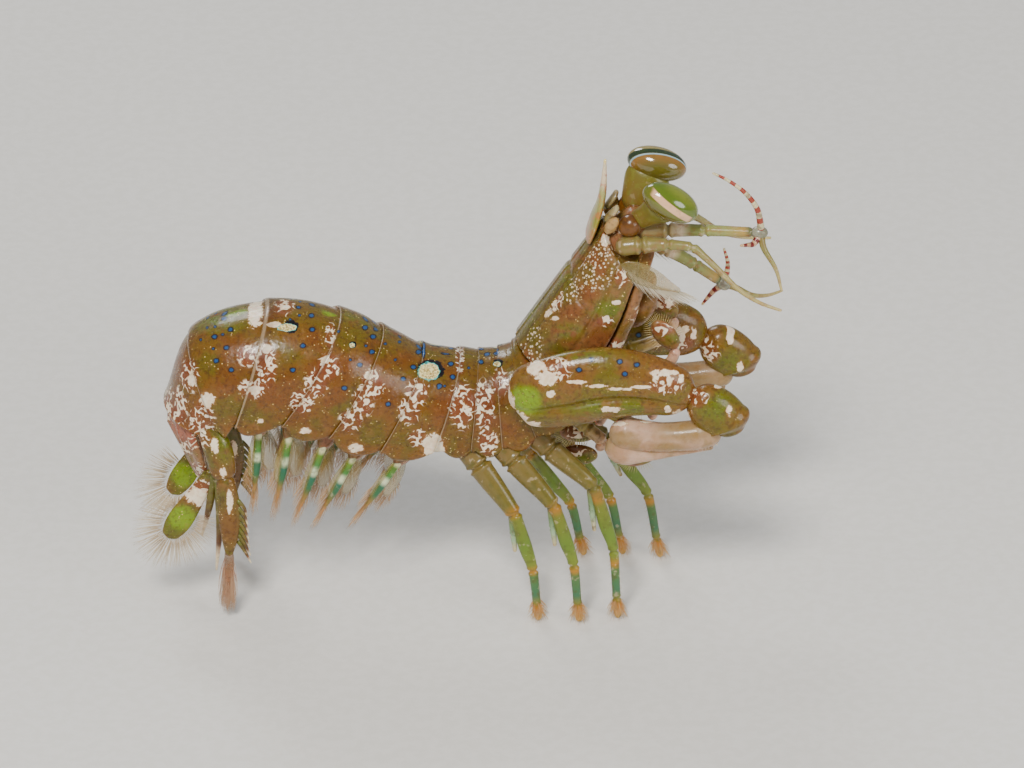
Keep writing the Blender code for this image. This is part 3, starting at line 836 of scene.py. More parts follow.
@dataclass(frozen=True)
class ShellFinish:
    """Glossy, translucent shell with clouds, gold dust, white patches and lace, blue spots and eyespots.

    Its tones are the screen colours of the ground, of the clouds and the back, and of the warm patches.
    """

    name: str
    tones: Rows = ((118, 78, 22), (100, 84, 16), (112, 62, 18))
    lace_scale: float = 1.3
    bead_scale: float = 2.3
    dust: float = 1.0
    speck: float = 0.5
    edge: float = 0.06
    slot: str = "shell"

    def ground(self, g: Graph) -> Socket:
        """The clouded colour under the markings.

        Args:
            g: The material's graph.

        Returns:
            The colour.
        """
        base, cloud, warm = (srgb(*tone) for tone in self.tones)
        body = g.mix(g.step(g.noise(0.35, 4.0), 0.40, 0.62), base, cloud)
        body = g.paint(body, cloud, g.attribute("top"), 0.8)
        warmth = g.times(g.step(g.noise(0.24, 3.0, 0.5, 0.6), 0.48, 0.62), 0.7)
        body = g.paint(body, warm, g.math("MAXIMUM", warmth, g.times(g.attribute("warmth"), 0.8)))
        moss = g.times(g.attribute("moss"), g.step(g.noise(0.7, 3.0), 0.3, 0.52))
        body = g.paint(body, MOSS, moss, 0.8)
        lime = g.plus(g.attribute("lime"), g.times(g.noise(1.2, 3.0), 0.6))
        body = g.paint(body, LIME, g.step(lime, 0.50, 1.15))
        body = g.paint(body, DEEP_BROWN, g.step(g.noise(2.4, 3.0), 0.50, 0.66), self.speck)
        body = g.paint(body, PINK, g.step(g.noise(1.1, 4.0, 0.6, 0.8), 0.56, 0.74), 0.22)
        dust = g.times(g.step(g.cells(2.7), 0.22, 0.11), g.step(g.noise(0.7, 2.0), 0.49, 0.60))
        return g.paint(body, GOLD, dust, 0.85 * self.dust)

    def laced(self, g: Graph, body: Socket, clear: Socket, chalk: Socket) -> Socket:
        """The colour with a broken net of white veins over a reddish ground.

        Args:
            g: The material's graph.
            body: The colour below.
            clear: Where the white marks may stand.
            chalk: Their colour.

        Returns:
            The colour.
        """
        lace, scale = g.times(g.attribute("lace"), clear), self.lace_scale
        ridge = g.math("ABSOLUTE", g.math("SUBTRACT", g.noise(scale, 0.5), 0.5))
        broken = g.step(g.noise(scale * 1.1, 1.0), 0.42, 0.54)
        width = g.times(g.times(lace, broken), 0.08)
        thin = g.step(g.math("SUBTRACT", ridge, width), 0.010, -0.010)
        blob = g.step(g.plus(g.noise(scale * 1.5, 0.5), g.times(lace, 0.12)), 0.71, 0.745)
        body = g.paint(body, ROSE, g.step(lace, 0.1, 0.7), 0.55)
        return g.paint(body, chalk, g.times(g.math("MAXIMUM", thin, blob), g.step(lace, 0.12, 0.4)))

    def spotted(self, g: Graph, body: Socket) -> Socket:
        """The colour with blue spots in dark rings, and eyespots with a seeded middle.

        Args:
            g: The material's graph.
            body: The colour below.

        Returns:
            The colour.
        """
        wobble = g.times(g.math("SUBTRACT", g.noise(3.0, 2.0), 0.5), 0.7)
        spot, eyespot, heart = (g.plus(g.attribute(name), wobble) for name in ("spot", "eyespot", "heart"))
        body = g.paint(body, INK, g.step(spot, 1.5, 1.0), 0.92)
        body = g.paint(body, SPOT_BLUE, g.step(spot, 0.95, 0.62))
        body = g.paint(body, INK, g.step(eyespot, 1.10, 0.98))
        body = g.paint(body, TURQUOISE, g.step(heart, 1.16, 1.06))
        seeds = g.mix(g.step(g.noise(6.0, 2.0), 0.42, 0.6), CREAM, SEED)
        return g.paint(body, seeds, g.step(heart, 1.05, 0.97))

    def build(self) -> bpy.types.Material:
        """Make the material.

        Returns:
            The material, which reads the attributes that Markings stores.
        """
        g = Graph(self.name)
        clear = g.step(g.attribute("top"), 1.0, 0.85)
        chalk = g.mix(g.times(g.step(g.noise(2.4, 2.0), 0.42, 0.62), 0.7), WHITE, TAN_WHITE)
        body = self.laced(g, self.ground(g), clear, chalk)
        grain = g.times(g.noise(1.5, 3.0, 0.6, 0.8), 2.2)
        ragged = g.plus(g.times(g.times(g.attribute("white"), clear), 1.4), grain)
        body = g.paint(body, PINK, g.step(ragged, 1.66, 2.0), 0.5)
        body = g.paint(body, chalk, g.step(ragged, 2.0 - self.edge, 2.0 + self.edge))
        beads = g.step(g.times(g.attribute("beads"), clear), 0.2, 0.5)
        bead = g.times(g.step(g.cells(self.bead_scale), 0.42, 0.30), beads)
        body = g.paint(body, PALE, bead)
        rim = g.attribute("rim")
        body = g.paint(body, DEEP_BROWN, g.step(rim, 0.34, 0.12), 0.4)
        body = g.paint(body, PALE, g.step(rim, 0.09, 0.05), 0.28)
        g.gloss(0.30, 0.22, 0.4, 1.3)
        g.shader.inputs["Specular IOR Level"].default_value = 0.28
        g.feed(g.shader.inputs["Roughness"], g.times(g.noise(0.9, 3.0), 0.58))
        height = g.plus(g.times(g.noise(5.0, 2.0), 0.4), g.times(g.cells(2.4), 0.35))
        height = g.plus(height, g.times(g.noise(0.9, 2.0), 2.2))
        height = g.plus(height, g.times(g.step(ragged, 1.9, 2.1), 0.5))
        g.bump(g.plus(height, g.times(bead, 0.8)), 0.05, 0.7)
        return g.colour(self.spotted(g, body))


@dataclass(frozen=True)
class LimbFinish:
    """Glossy limb whose colour changes along it, with dark or orange joints.

    Its stops are rows of place along the limb, from 0 to 1, and screen red, green and blue.
    """

    name: str
    stops: Rows
    speck: Colour = DEEP_BROWN
    fleck: float = 0.3
    band: Colour | None = None
    bands: float = 8.0
    roughness: float = 0.3
    slot: str = "leg"

    def build(self) -> bpy.types.Material:
        """Make the material.

        Returns:
            The material, which reads the attribute along.
        """
        g = Graph(self.name)
        ramp = g.tree.nodes.new("ShaderNodeValToRGB")
        elements = ramp.color_ramp.elements
        while len(elements) > 1:
            elements.remove(elements[-1])
        elements[0].position = self.stops[0][0]
        elements[0].color = (*srgb(*self.stops[0][1:]), 1.0)
        for place, *tone in self.stops[1:]:
            elements.new(place).color = (*srgb(*tone), 1.0)
        along = g.attribute("along")
        g.link(along, ramp.inputs["Fac"])
        body = g.paint(ramp.outputs["Color"], self.speck, g.step(g.noise(1.4, 3.0), 0.48, 0.66), 0.55)
        body = g.paint(body, PALE, g.step(g.noise(1.5, 3.0), 0.60, 0.68), self.fleck)
        if self.band is not None:
            wave = g.math("SINE", g.times(along, self.bands * 2 * math.pi))
            body = g.paint(body, self.band, g.step(wave, -0.1, 0.25))
        g.gloss(self.roughness, 0.25, 0.35, 1.0)
        g.shader.inputs["Specular IOR Level"].default_value = 0.35
        g.bump(g.noise(4.0, 2.0), 0.03, 0.5)
        return g.colour(body)


@dataclass(frozen=True)
class LeafFinish:
    """Thin translucent leaf with clouded colour and a fine bumpy surface."""

    name: str
    inner: Colour
    outer: Colour
    alpha: float
    mottle: float
    slot: str = "swimmeret"

    def build(self) -> bpy.types.Material:
        """Make the material.

        Returns:
            The material, which reads the attribute along.
        """
        g = Graph(self.name)
        body = g.mix(g.step(g.attribute("along"), 0.1, 0.95), self.inner, self.outer)
        body = g.paint(body, PALE, g.step(g.noise(1.2, 3.0, 0.6, 0.8), 0.55, 0.66), self.mottle)
        body = g.paint(body, DEEP_BROWN, g.step(g.noise(2.4, 2.0), 0.55, 0.7), 0.5)
        g.gloss(0.32, 0.35, 0.3, 0.8)
        g.shader.inputs["Alpha"].default_value = self.alpha
        g.bump(g.noise(3.5, 2.0), 0.03, 0.5)
        return g.colour(body)


@dataclass(frozen=True)
class BristleFinish:
    """Fine translucent bristles, darker at the root."""

    name: str
    root: Colour
    tip: Colour
    alpha: float = 0.8
    slot: str = "swimmeret"

    def build(self) -> bpy.types.Material:
        """Make the material.

        Returns:
            The material, which reads the attributes along and shade.
        """
        g = Graph(self.name)
        body = g.mix(g.step(g.attribute("along"), 0.05, 0.6), self.root, self.tip)
        body = g.paint(body, PALE, g.attribute("shade"), 0.35)
        g.gloss(0.35, 0.2, 0.0)
        g.shader.inputs["Alpha"].default_value = self.alpha
        return g.colour(body)


@dataclass(frozen=True)
class EyeFinish:
    """Cornea with a pink band between green halves, or with a dark crescent where it is seen from below."""

    name: str
    far: bool = False
    slot: str = "eye"

    def banded(self, g: Graph, height: Socket) -> Socket:
        """The colour of the eye whose band faces the camera.

        Args:
            g: The material's graph.
            height: Place across the band.

        Returns:
            The colour.
        """
        body = g.mix(g.step(height, -0.7, -0.3), srgb(96, 88, 18), srgb(98, 102, 6))
        body = g.paint(body, srgb(84, 104, 0), g.step(height, 0.14, 0.24))
        body = g.paint(body, srgb(120, 128, 30), g.step(height, 0.45, 0.95))
        inside = g.times(g.step(height, -0.26, -0.19), g.step(height, 0.21, 0.15))
        inside = g.times(inside, g.step(g.attribute("reach"), 0.86, 0.72))
        return g.paint(body, srgb(226, 178, 136), inside)

    def crescent(self, g: Graph, height: Socket) -> Socket:
        """The colour of the eye that is seen from below.

        Args:
            g: The material's graph.
            height: Place across the band.

        Returns:
            The colour.
        """
        body = g.mix(g.step(height, -0.6, 0.0), srgb(96, 88, 28), srgb(136, 96, 36))
        line = g.times(g.step(height, 0.0, 0.06), g.step(height, 0.14, 0.08))
        body = g.paint(body, srgb(150, 190, 200), line)
        body = g.paint(body, srgb(30, 48, 14), g.step(height, 0.10, 0.16))
        return g.paint(body, srgb(150, 134, 76), g.step(height, 0.42, 0.55))

    def build(self) -> bpy.types.Material:
        """Make the material.

        Returns:
            The material, which reads the attribute height, from -1 to 1 across the band, and reach along it.
        """
        g = Graph(self.name)
        height = g.attribute("height")
        body = self.crescent(g, height) if self.far else self.banded(g, height)
        body = g.paint(body, srgb(78, 88, 6), g.step(g.noise(1.6, 2.0), 0.5, 0.7), 0.22)
        g.gloss(0.12, 0.8, 0.1, 0.6)
        g.bump(g.cells(9.0), 0.006, 0.35)
        return g.colour(body)


class Finish(Enum):
    """The finishes of the animal."""

    SHELL = ShellFinish("shell")
    CARAPACE = ShellFinish(
        "carapace", ((132, 94, 50), (98, 86, 24), (128, 72, 40)), bead_scale=3.0, edge=0.16, slot="carapace"
    )
    CLAW = ShellFinish(
        "claw", ((118, 84, 30), (104, 92, 20), (124, 78, 30)), dust=0.4, edge=0.1, slot="claw"
    )
    HAND = ShellFinish(
        "claw_hand", ((196, 162, 138), (172, 134, 102), (136, 110, 56)), dust=0.0, speck=0.12, slot="claw_tip"
    )
    PATCH = ShellFinish("cheek", ((206, 190, 138), (172, 154, 86), (160, 116, 62)), dust=0.0, slot="stalk")
    FLESH = ShellFinish("flesh", ((140, 98, 60), (120, 92, 42), (140, 84, 58)), lace_scale=1.1, slot="belly")
    TAIL = ShellFinish("tail", ((92, 92, 24), (102, 88, 30), (118, 72, 30)), edge=0.1, slot="tail_fan")
    TELSON = ShellFinish(
        "telson", ((150, 104, 72), (116, 96, 40), (164, 92, 72)), lace_scale=1.5, slot="tail_fan"
    )
    ROSTRUM = LimbFinish(
        "rostral_plate",
        (
            (0.0, 170, 120, 90),
            (0.3, 140, 136, 50),
            (0.62, 168, 166, 100),
            (0.72, 220, 200, 168),
            (0.94, 220, 200, 168),
            (0.97, 236, 206, 134),
        ),
        speck=srgb(196, 92, 50),
        slot="shell",
    )
    STALK = LimbFinish(
        "eye_stalk",
        ((0.0, 124, 96, 46), (0.5, 118, 100, 34), (0.9, 96, 98, 22)),
        speck=srgb(120, 120, 40),
        fleck=0.15,
        slot="stalk",
    )
    AMBER = LimbFinish(
        "amber", ((0.0, 96, 58, 16), (1.0, 120, 76, 24)), speck=srgb(60, 36, 12), fleck=0.0, slot="stalk"
    )
    PALE_SCALE = LimbFinish("eye_scale", ((0.0, 120, 104, 52), (1.0, 176, 160, 116)), slot="stalk")
    PEDUNCLE = LimbFinish(
        "antennule_stalk",
        (
            (0.0, 150, 128, 84),
            (0.32, 156, 138, 88),
            (0.42, 220, 200, 168),
            (0.5, 136, 140, 74),
            (0.75, 142, 146, 84),
            (0.92, 170, 140, 72),
            (0.97, 96, 104, 70),
        ),
        speck=srgb(150, 104, 62),
        roughness=0.25,
        slot="feeler",
    )
    HUB = LimbFinish("hub", ((0.0, 120, 118, 96), (1.0, 150, 150, 130)), slot="feeler")
    BANDED = LimbFinish(
        "flagellum_banded",
        ((0.0, 200, 190, 150), (1.0, 216, 204, 164)),
        band=srgb(150, 62, 44),
        bands=7.0,
        slot="feeler",
    )
    DARK_BANDED = LimbFinish(
        "flagellum_dark",
        ((0.0, 190, 150, 120), (1.0, 196, 160, 120)),
        band=srgb(110, 34, 30),
        bands=4.0,
        slot="feeler",
    )
    FEELER = LimbFinish(
        "feeler",
        ((0.0, 124, 106, 54), (0.4, 136, 132, 74), (0.6, 156, 144, 88), (1.0, 188, 172, 116)),
        speck=srgb(140, 98, 60),
        slot="feeler",
    )
    LEG = LimbFinish(
        "walking_leg",
        (
            (0.0, 112, 80, 40),
            (0.12, 118, 98, 48),
            (0.38, 106, 96, 32),
            (0.425, 160, 112, 26),
            (0.455, 110, 116, 28),
            (0.60, 98, 126, 34),
            (0.70, 116, 128, 36),
            (0.735, 178, 122, 22),
            (0.76, 78, 116, 54),
            (0.86, 56, 108, 74),
            (0.90, 120, 118, 42),
            (0.935, 190, 122, 18),
            (1.0, 196, 158, 84),
        ),
        speck=srgb(84, 84, 28),
    )
    BRANCH = LimbFinish(
        "leg_branch", ((0.0, 136, 118, 56), (0.4, 104, 132, 84), (0.7, 146, 170, 136), (1.0, 196, 176, 130))
    )
    TOOTH = LimbFinish("claw_tooth", ((0.0, 196, 150, 120), (1.0, 226, 206, 180)), slot="claw_tip")
    MAXILLIPED = LimbFinish("maxilliped", ((0.0, 150, 112, 70), (0.45, 146, 128, 50), (1.0, 206, 160, 136)))
    LEAF_EDGE = LimbFinish(
        "swimmeret_edge",
        (
            (0.0, 116, 88, 34),
            (0.18, 108, 112, 24),
            (0.25, 210, 206, 160),
            (0.30, 210, 206, 160),
            (0.35, 92, 128, 22),
            (0.46, 60, 120, 50),
            (0.51, 200, 208, 170),
            (0.55, 200, 208, 170),
            (0.60, 30, 100, 74),
            (0.72, 44, 100, 60),
            (0.80, 128, 108, 48),
            (1.0, 186, 120, 66),
        ),
        speck=srgb(60, 90, 30),
        slot="swimmeret",
    )
    TAIL_SPINE = LimbFinish(
        "tail_spine",
        (
            (0.0, 92, 98, 24),
            (0.45, 104, 92, 30),
            (0.7, 96, 58, 28),
            (0.84, 220, 200, 168),
            (1.0, 220, 200, 168),
        ),
        slot="tail_fan",
    )
    EYE = EyeFinish("cornea")
    FAR_EYE = EyeFinish("far_cornea", far=True)
    LEAF = LeafFinish("swimmeret_leaf", srgb(142, 128, 44), srgb(188, 164, 92), 0.36, 0.1)
    BRUSH = LeafFinish("uropod_brush", srgb(128, 92, 50), srgb(176, 120, 84), 0.55, 0.05, "tail_fan")
    SCALE = LeafFinish("antennal_scale", srgb(140, 122, 66), srgb(176, 156, 106), 0.42, 0.2, "feeler")
    PALE_BRISTLE = BristleFinish("pale_bristle", srgb(196, 168, 128), srgb(226, 208, 178), slot="tail_fan")
    PINK_BRISTLE = BristleFinish("pink_bristle", srgb(178, 118, 84), srgb(204, 160, 124), slot="tail_fan")
    TAN_BRISTLE = BristleFinish("tan_bristle", srgb(178, 130, 66), srgb(210, 162, 104), 0.5)
    STRAW_BRISTLE = BristleFinish("straw_bristle", srgb(200, 176, 96), srgb(226, 206, 130), slot="leg")
    ORANGE_BRISTLE = BristleFinish("orange_bristle", srgb(200, 124, 24), srgb(220, 172, 96), slot="leg")
    CLEAR_BRISTLE = BristleFinish("clear_bristle", srgb(222, 210, 180), srgb(236, 228, 206), 0.55, "feeler")


class Finishes:
    """Makes each finish once."""

    made: dict[Finish, bpy.types.Material] = {}

    @classmethod
    def get(cls, finish: Finish) -> bpy.types.Material:
        """The material of a finish.

        Args:
            finish: Which finish.

        Returns:
            Its material.
        """
        if finish not in cls.made:
            cls.made[finish] = finish.value.build()
        return cls.made[finish]


# Rows of middle along, middle down, half length and half height on the mark plane, in mm.
BLUE_SPOTS = [
    (x, down, 0.27, 0.22)
    for x, down in (
        (22.6, 31.9), (23.3, 33.0), (21.7, 33.7), (22.9, 34.8), (21.9, 36.1), (23.4, 37.0), (30.0, 30.7),
        (31.6, 30.5), (31.3, 31.6), (31.4, 33.0), (30.5, 34.6), (29.5, 37.0), (36.6, 32.8), (37.7, 32.9),
        (37.4, 33.7), (37.3, 35.2), (36.1, 36.5), (34.6, 38.8), (38.9, 40.4), (41.9, 35.2), (41.4, 36.7),
        (45.1, 36.4), (45.3, 37.7), (44.0, 38.6), (48.1, 36.2), (48.7, 35.4), (49.6, 35.3), (40.4, 37.9),
    )
] + [(44.7, 35.3, 0.55, 0.17)]
DARK_DOTS = [
    (x, down, 0.15, 0.13)
    for x, down in (
        (21.8, 31.7), (20.9, 32.8), (21.7, 32.7), (22.5, 33.5), (21.6, 34.9), (30.1, 31.6), (36.7, 34.6),
        (35.2, 36.0), (20.3, 34.0), (23.6, 31.2), (29.2, 32.0), (38.6, 34.4), (40.0, 34.2), (44.5, 38.6),
        (43.9, 38.8), (33.0, 31.2), (34.0, 33.2), (39.6, 36.0), (47.2, 35.2), (46.9, 36.8),
    )
] + [(42.4, 35.2, 0.16, 0.6)]
EYESPOTS = [
    (43.1, 37.0, 1.3, 0.98), (29.3, 32.7, 0.72, 0.62), (35.4, 34.5, 0.36, 0.32), (49.8, 36.3, 0.5, 0.4),
]
EYE_HEARTS = [
    (42.95, 37.15, 1.02, 0.78), (28.9, 32.8, 0.85, 0.36), (35.35, 34.55, 0.25, 0.22),
    (49.7, 36.4, 0.36, 0.24),
]
BODY_WHITE = [
    (25.7, 31.6, 0.9, 1.4), (26.5, 29.8, 1.2, 0.4), (28.6, 30.3, 0.9, 0.7), (21.0, 40.0, 0.9, 0.8),
    (25.6, 39.0, 0.9, 0.5), (30.6, 43.0, 0.7, 0.4), (35.6, 44.8, 0.9, 0.6), (43.3, 44.5, 1.3, 1.6),
    (26.3, 42.1, 0.5, 0.35), (36.9, 37.6, 0.5, 0.5), (32.8, 36.0, 0.6, 0.5), (26.9, 34.9, 0.6, 0.6),
    (27.6, 32.5, 0.8, 0.3), (19.4, 38.0, 0.5, 0.8), (41.9, 38.6, 0.5, 0.4),
]
BODY_LACE = [
    (26.8, 36.6, 1.0, 2.1), (25.4, 38.9, 1.2, 0.9), (33.0, 36.7, 1.0, 1.3), (31.8, 38.3, 1.1, 1.3),
    (30.4, 40.1, 1.1, 1.1), (37.3, 38.5, 1.1, 1.4), (36.4, 40.2, 1.0, 1.3), (35.2, 42.1, 1.1, 1.1),
    (41.8, 39.2, 1.1, 1.3), (41.0, 41.1, 1.0, 1.3), (46.2, 40.5, 1.2, 2.2), (48.4, 40.4, 1.1, 2.2),
    (48.8, 44.2, 0.9, 1.4), (50.1, 38.2, 0.8, 1.3), (41.8, 43.8, 0.9, 0.9), (20.4, 42.0, 1.2, 1.8),
    (17.6, 40.6, 1.3, 1.9), (18.8, 44.6, 1.2, 1.6), (25.0, 35.6, 0.9, 1.0), (46.0, 36.0, 0.4, 1.3),
    (28.6, 30.6, 1.0, 1.0), (19.2, 37.6, 0.9, 1.6), (33.2, 33.6, 0.5, 1.2),
]
BODY_MOSS = [
    (21.6, 31.8, 3.0, 1.7), (36.6, 31.4, 2.4, 0.9), (46.6, 34.8, 3.0, 0.6),
]
BODY_LIME = [(23.3, 31.0, 1.7, 0.7), (33.4, 31.2, 1.2, 0.5)]
BODY_WARMTH = [
    (24.4, 36.0, 1.4, 2.2), (29.0, 38.6, 1.4, 2.0), (34.6, 37.0, 1.6, 1.8), (39.2, 39.6, 1.6, 2.2),
    (44.2, 40.4, 1.4, 2.4), (31.6, 33.8, 1.0, 1.0), (47.4, 40.4, 2.2, 1.8), (18.0, 36.6, 1.6, 2.0),
    (40.6, 36.0, 1.2, 1.0),
]
CARAPACE_WHITE = [
    (54.4, 31.3, 0.9, 0.6), (55.4, 31.9, 0.5, 0.3), (54.3, 28.9, 0.6, 0.8), (61.6, 30.4, 0.6, 0.3),
    (60.4, 24.2, 0.6, 0.8), (52.7, 32.0, 0.3, 0.5),
]
CARAPACE_LACE = [
    (55.4, 29.6, 0.8, 1.4), (60.4, 32.2, 0.8, 0.5), (57.8, 26.0, 0.6, 0.8), (62.0, 28.0, 0.7, 0.9),
]
CARAPACE_BEADS = [
    (59.2, 26.8, 2.2, 2.3), (52.2, 34.4, 1.9, 3.0), (56.8, 29.0, 1.2, 1.4), (61.0, 24.8, 1.0, 1.4),
]
CARAPACE_MOSS = [
    (56.2, 26.2, 0.9, 2.6), (60.8, 31.0, 2.2, 1.0), (56.8, 33.2, 1.6, 0.9), (53.0, 29.6, 0.8, 2.6),
]
CARAPACE_WARM = [(58.8, 29.8, 1.2, 1.5), (60.4, 34.0, 2.6, 1.1), (57.6, 31.2, 1.6, 0.9)]
MERUS_SPOTS = [
    (x, down, 0.28, 0.24)
    for x, down in ((57.8, 37.0), (59.0, 36.0), (61.8, 36.2), (63.5, 36.5), (62.3, 37.4))
]
MERUS_WHITE = [
    (53.6, 36.8, 1.1, 0.9), (54.6, 37.9, 1.3, 0.9), (51.0, 40.2, 0.55, 1.7), (51.8, 41.8, 1.1, 0.9),
    (53.2, 42.5, 1.1, 0.5), (66.2, 37.3, 1.7, 0.4), (65.4, 37.9, 0.4, 0.7), (66.7, 38.0, 0.35, 0.7),
    (67.9, 37.9, 0.35, 0.6), (68.0, 41.6, 1.1, 0.9), (66.6, 40.9, 0.4, 0.4), (55.0, 39.4, 0.5, 0.4),
    (61.0, 40.9, 1.3, 0.35), (71.6, 38.6, 0.5, 0.4), (72.6, 41.0, 0.4, 0.7), (57.6, 38.2, 1.2, 0.22),
    (59.6, 38.6, 1.4, 0.2), (61.8, 38.9, 1.5, 0.2), (63.9, 38.7, 1.4, 0.2),
]
MERUS_LACE = [(55.4, 37.0, 1.5, 1.1), (66.4, 38.6, 1.6, 0.8), (69.6, 39.8, 0.9, 0.9)]
MERUS_MOSS = [
    (53.2, 40.2, 1.8, 1.3), (60.8, 40.8, 4.4, 0.8), (58.0, 35.6, 3.0, 0.5), (71.4, 40.6, 1.8, 1.6),
]
MERUS_LIME = [(52.4, 40.0, 1.9, 1.5)]
HAND_WHITE = [(61.7, 42.3, 1.3, 0.34), (64.6, 42.1, 0.7, 0.2)]
HAND_OLIVE = [(68.4, 42.9, 3.2, 1.4), (71.6, 42.4, 2.4, 1.8), (66.8, 44.6, 1.6, 0.5)]
UROPOD_WHITE = [
    (19.6, 49.7, 1.3, 1.0), (23.0, 50.2, 0.4, 1.4), (21.6, 44.6, 0.5, 1.0), (22.4, 47.2, 0.4, 0.7),
]
TELSON_LACE = [
    (17.2, 41.0, 1.0, 1.0), (18.4, 44.6, 1.4, 0.8), (20.4, 44.0, 1.2, 0.9), (19.4, 47.0, 1.6, 0.7),
]
UROPOD_MOSS = [(18.2, 52.1, 1.9, 1.7), (22.6, 44.4, 1.0, 2.0), (17.4, 47.2, 1.4, 1.2)]
UROPOD_LACE = [(20.6, 43.8, 0.7, 1.0), (19.9, 49.2, 1.2, 1.2)]
UROPOD_LIME = [(18.1, 51.8, 1.5, 1.3), (17.6, 47.4, 1.1, 1.0)]
UROPOD_WARMTH = [(23.9, 45.0, 0.5, 4.0), (22.9, 52.6, 1.4, 2.2), (19.6, 53.8, 1.6, 0.6)]


@dataclass(frozen=True)
class Markings:
    """Where the shell's markings stand on the mark plane."""

    spots: Rows = ()
    eyespots: Rows = ()
    hearts: Rows = ()
    white: Rows = ()
    lace: Rows = ()
    beads: Rows = ()
    moss: Rows = ()
    warmth: Rows = ()
    lime: Rows = ()
    shift: tuple[float, float] = (0.0, 0.0)

    def plane(self, points: np.ndarray) -> np.ndarray:
        """Places of points on the mark plane, less the shift of a limb in another pose."""
        return mark_plane(points) - np.array(self.shift)

    def fields(self, top: Field | None = None, rim: Field | None = None) -> dict[str, Field]:
        """Numbers for the shell finish.

        Args:
            top: How near each point is to the middle of the back, from 0 to 1.
            rim: Distance from the free edge in mm.

        Returns:
            One field for each attribute that the finish reads.
        """
        ovals = {"spot": self.spots, "eyespot": self.eyespots, "heart": self.hearts}
        clouds = {"white": self.white, "lace": self.lace, "beads": self.beads}
        clouds |= {"moss": self.moss, "warmth": self.warmth, "lime": self.lime}
        made: dict[str, Field] = {}
        for name, marks in ovals.items():
            made[name] = lambda points, around, along, marks=marks: nearest(self.plane(points), marks)
        for name, marks in clouds.items():
            made[name] = lambda points, around, along, marks=marks: soft_patches(self.plane(points), marks)
        made["top"] = top or (lambda points, around, along: np.zeros(len(points)))
        made["rim"] = rim or (lambda points, around, along: np.full(len(points), FAR_AWAY))
        return made


UROPOD_MARKS = Markings(
    white=UROPOD_WHITE, lace=UROPOD_LACE, moss=UROPOD_MOSS, warmth=UROPOD_WARMTH, lime=UROPOD_LIME
)


def fold_profile(half: Rows, around: np.ndarray) -> tuple[np.ndarray, np.ndarray]:
    """Sideways and upright shares of a section that is the same on both sides.

    Args:
        half: Rows of sideways and upright share, from the middle of the belly to the middle of the back.
        around: Shares round the section, from the belly up the right side and down the left.

    Returns:
        The sideways share, which is negative on the right, and the upright share.
    """
    known = np.array(half, float)
    places = np.linspace(0, len(known) - 1, 24 * len(known))
    fine = smooth_rows(known, places)
    lengths = np.concatenate([[0.0], np.cumsum(np.linalg.norm(np.diff(fine, axis=0), axis=1))])
    share = (1 - np.abs(2 * around - 1)) * lengths[-1]
    out, up = np.interp(share, lengths, fine[:, 0]), np.interp(share, lengths, fine[:, 1])
    return np.where(around < 0.5, -out, out), up


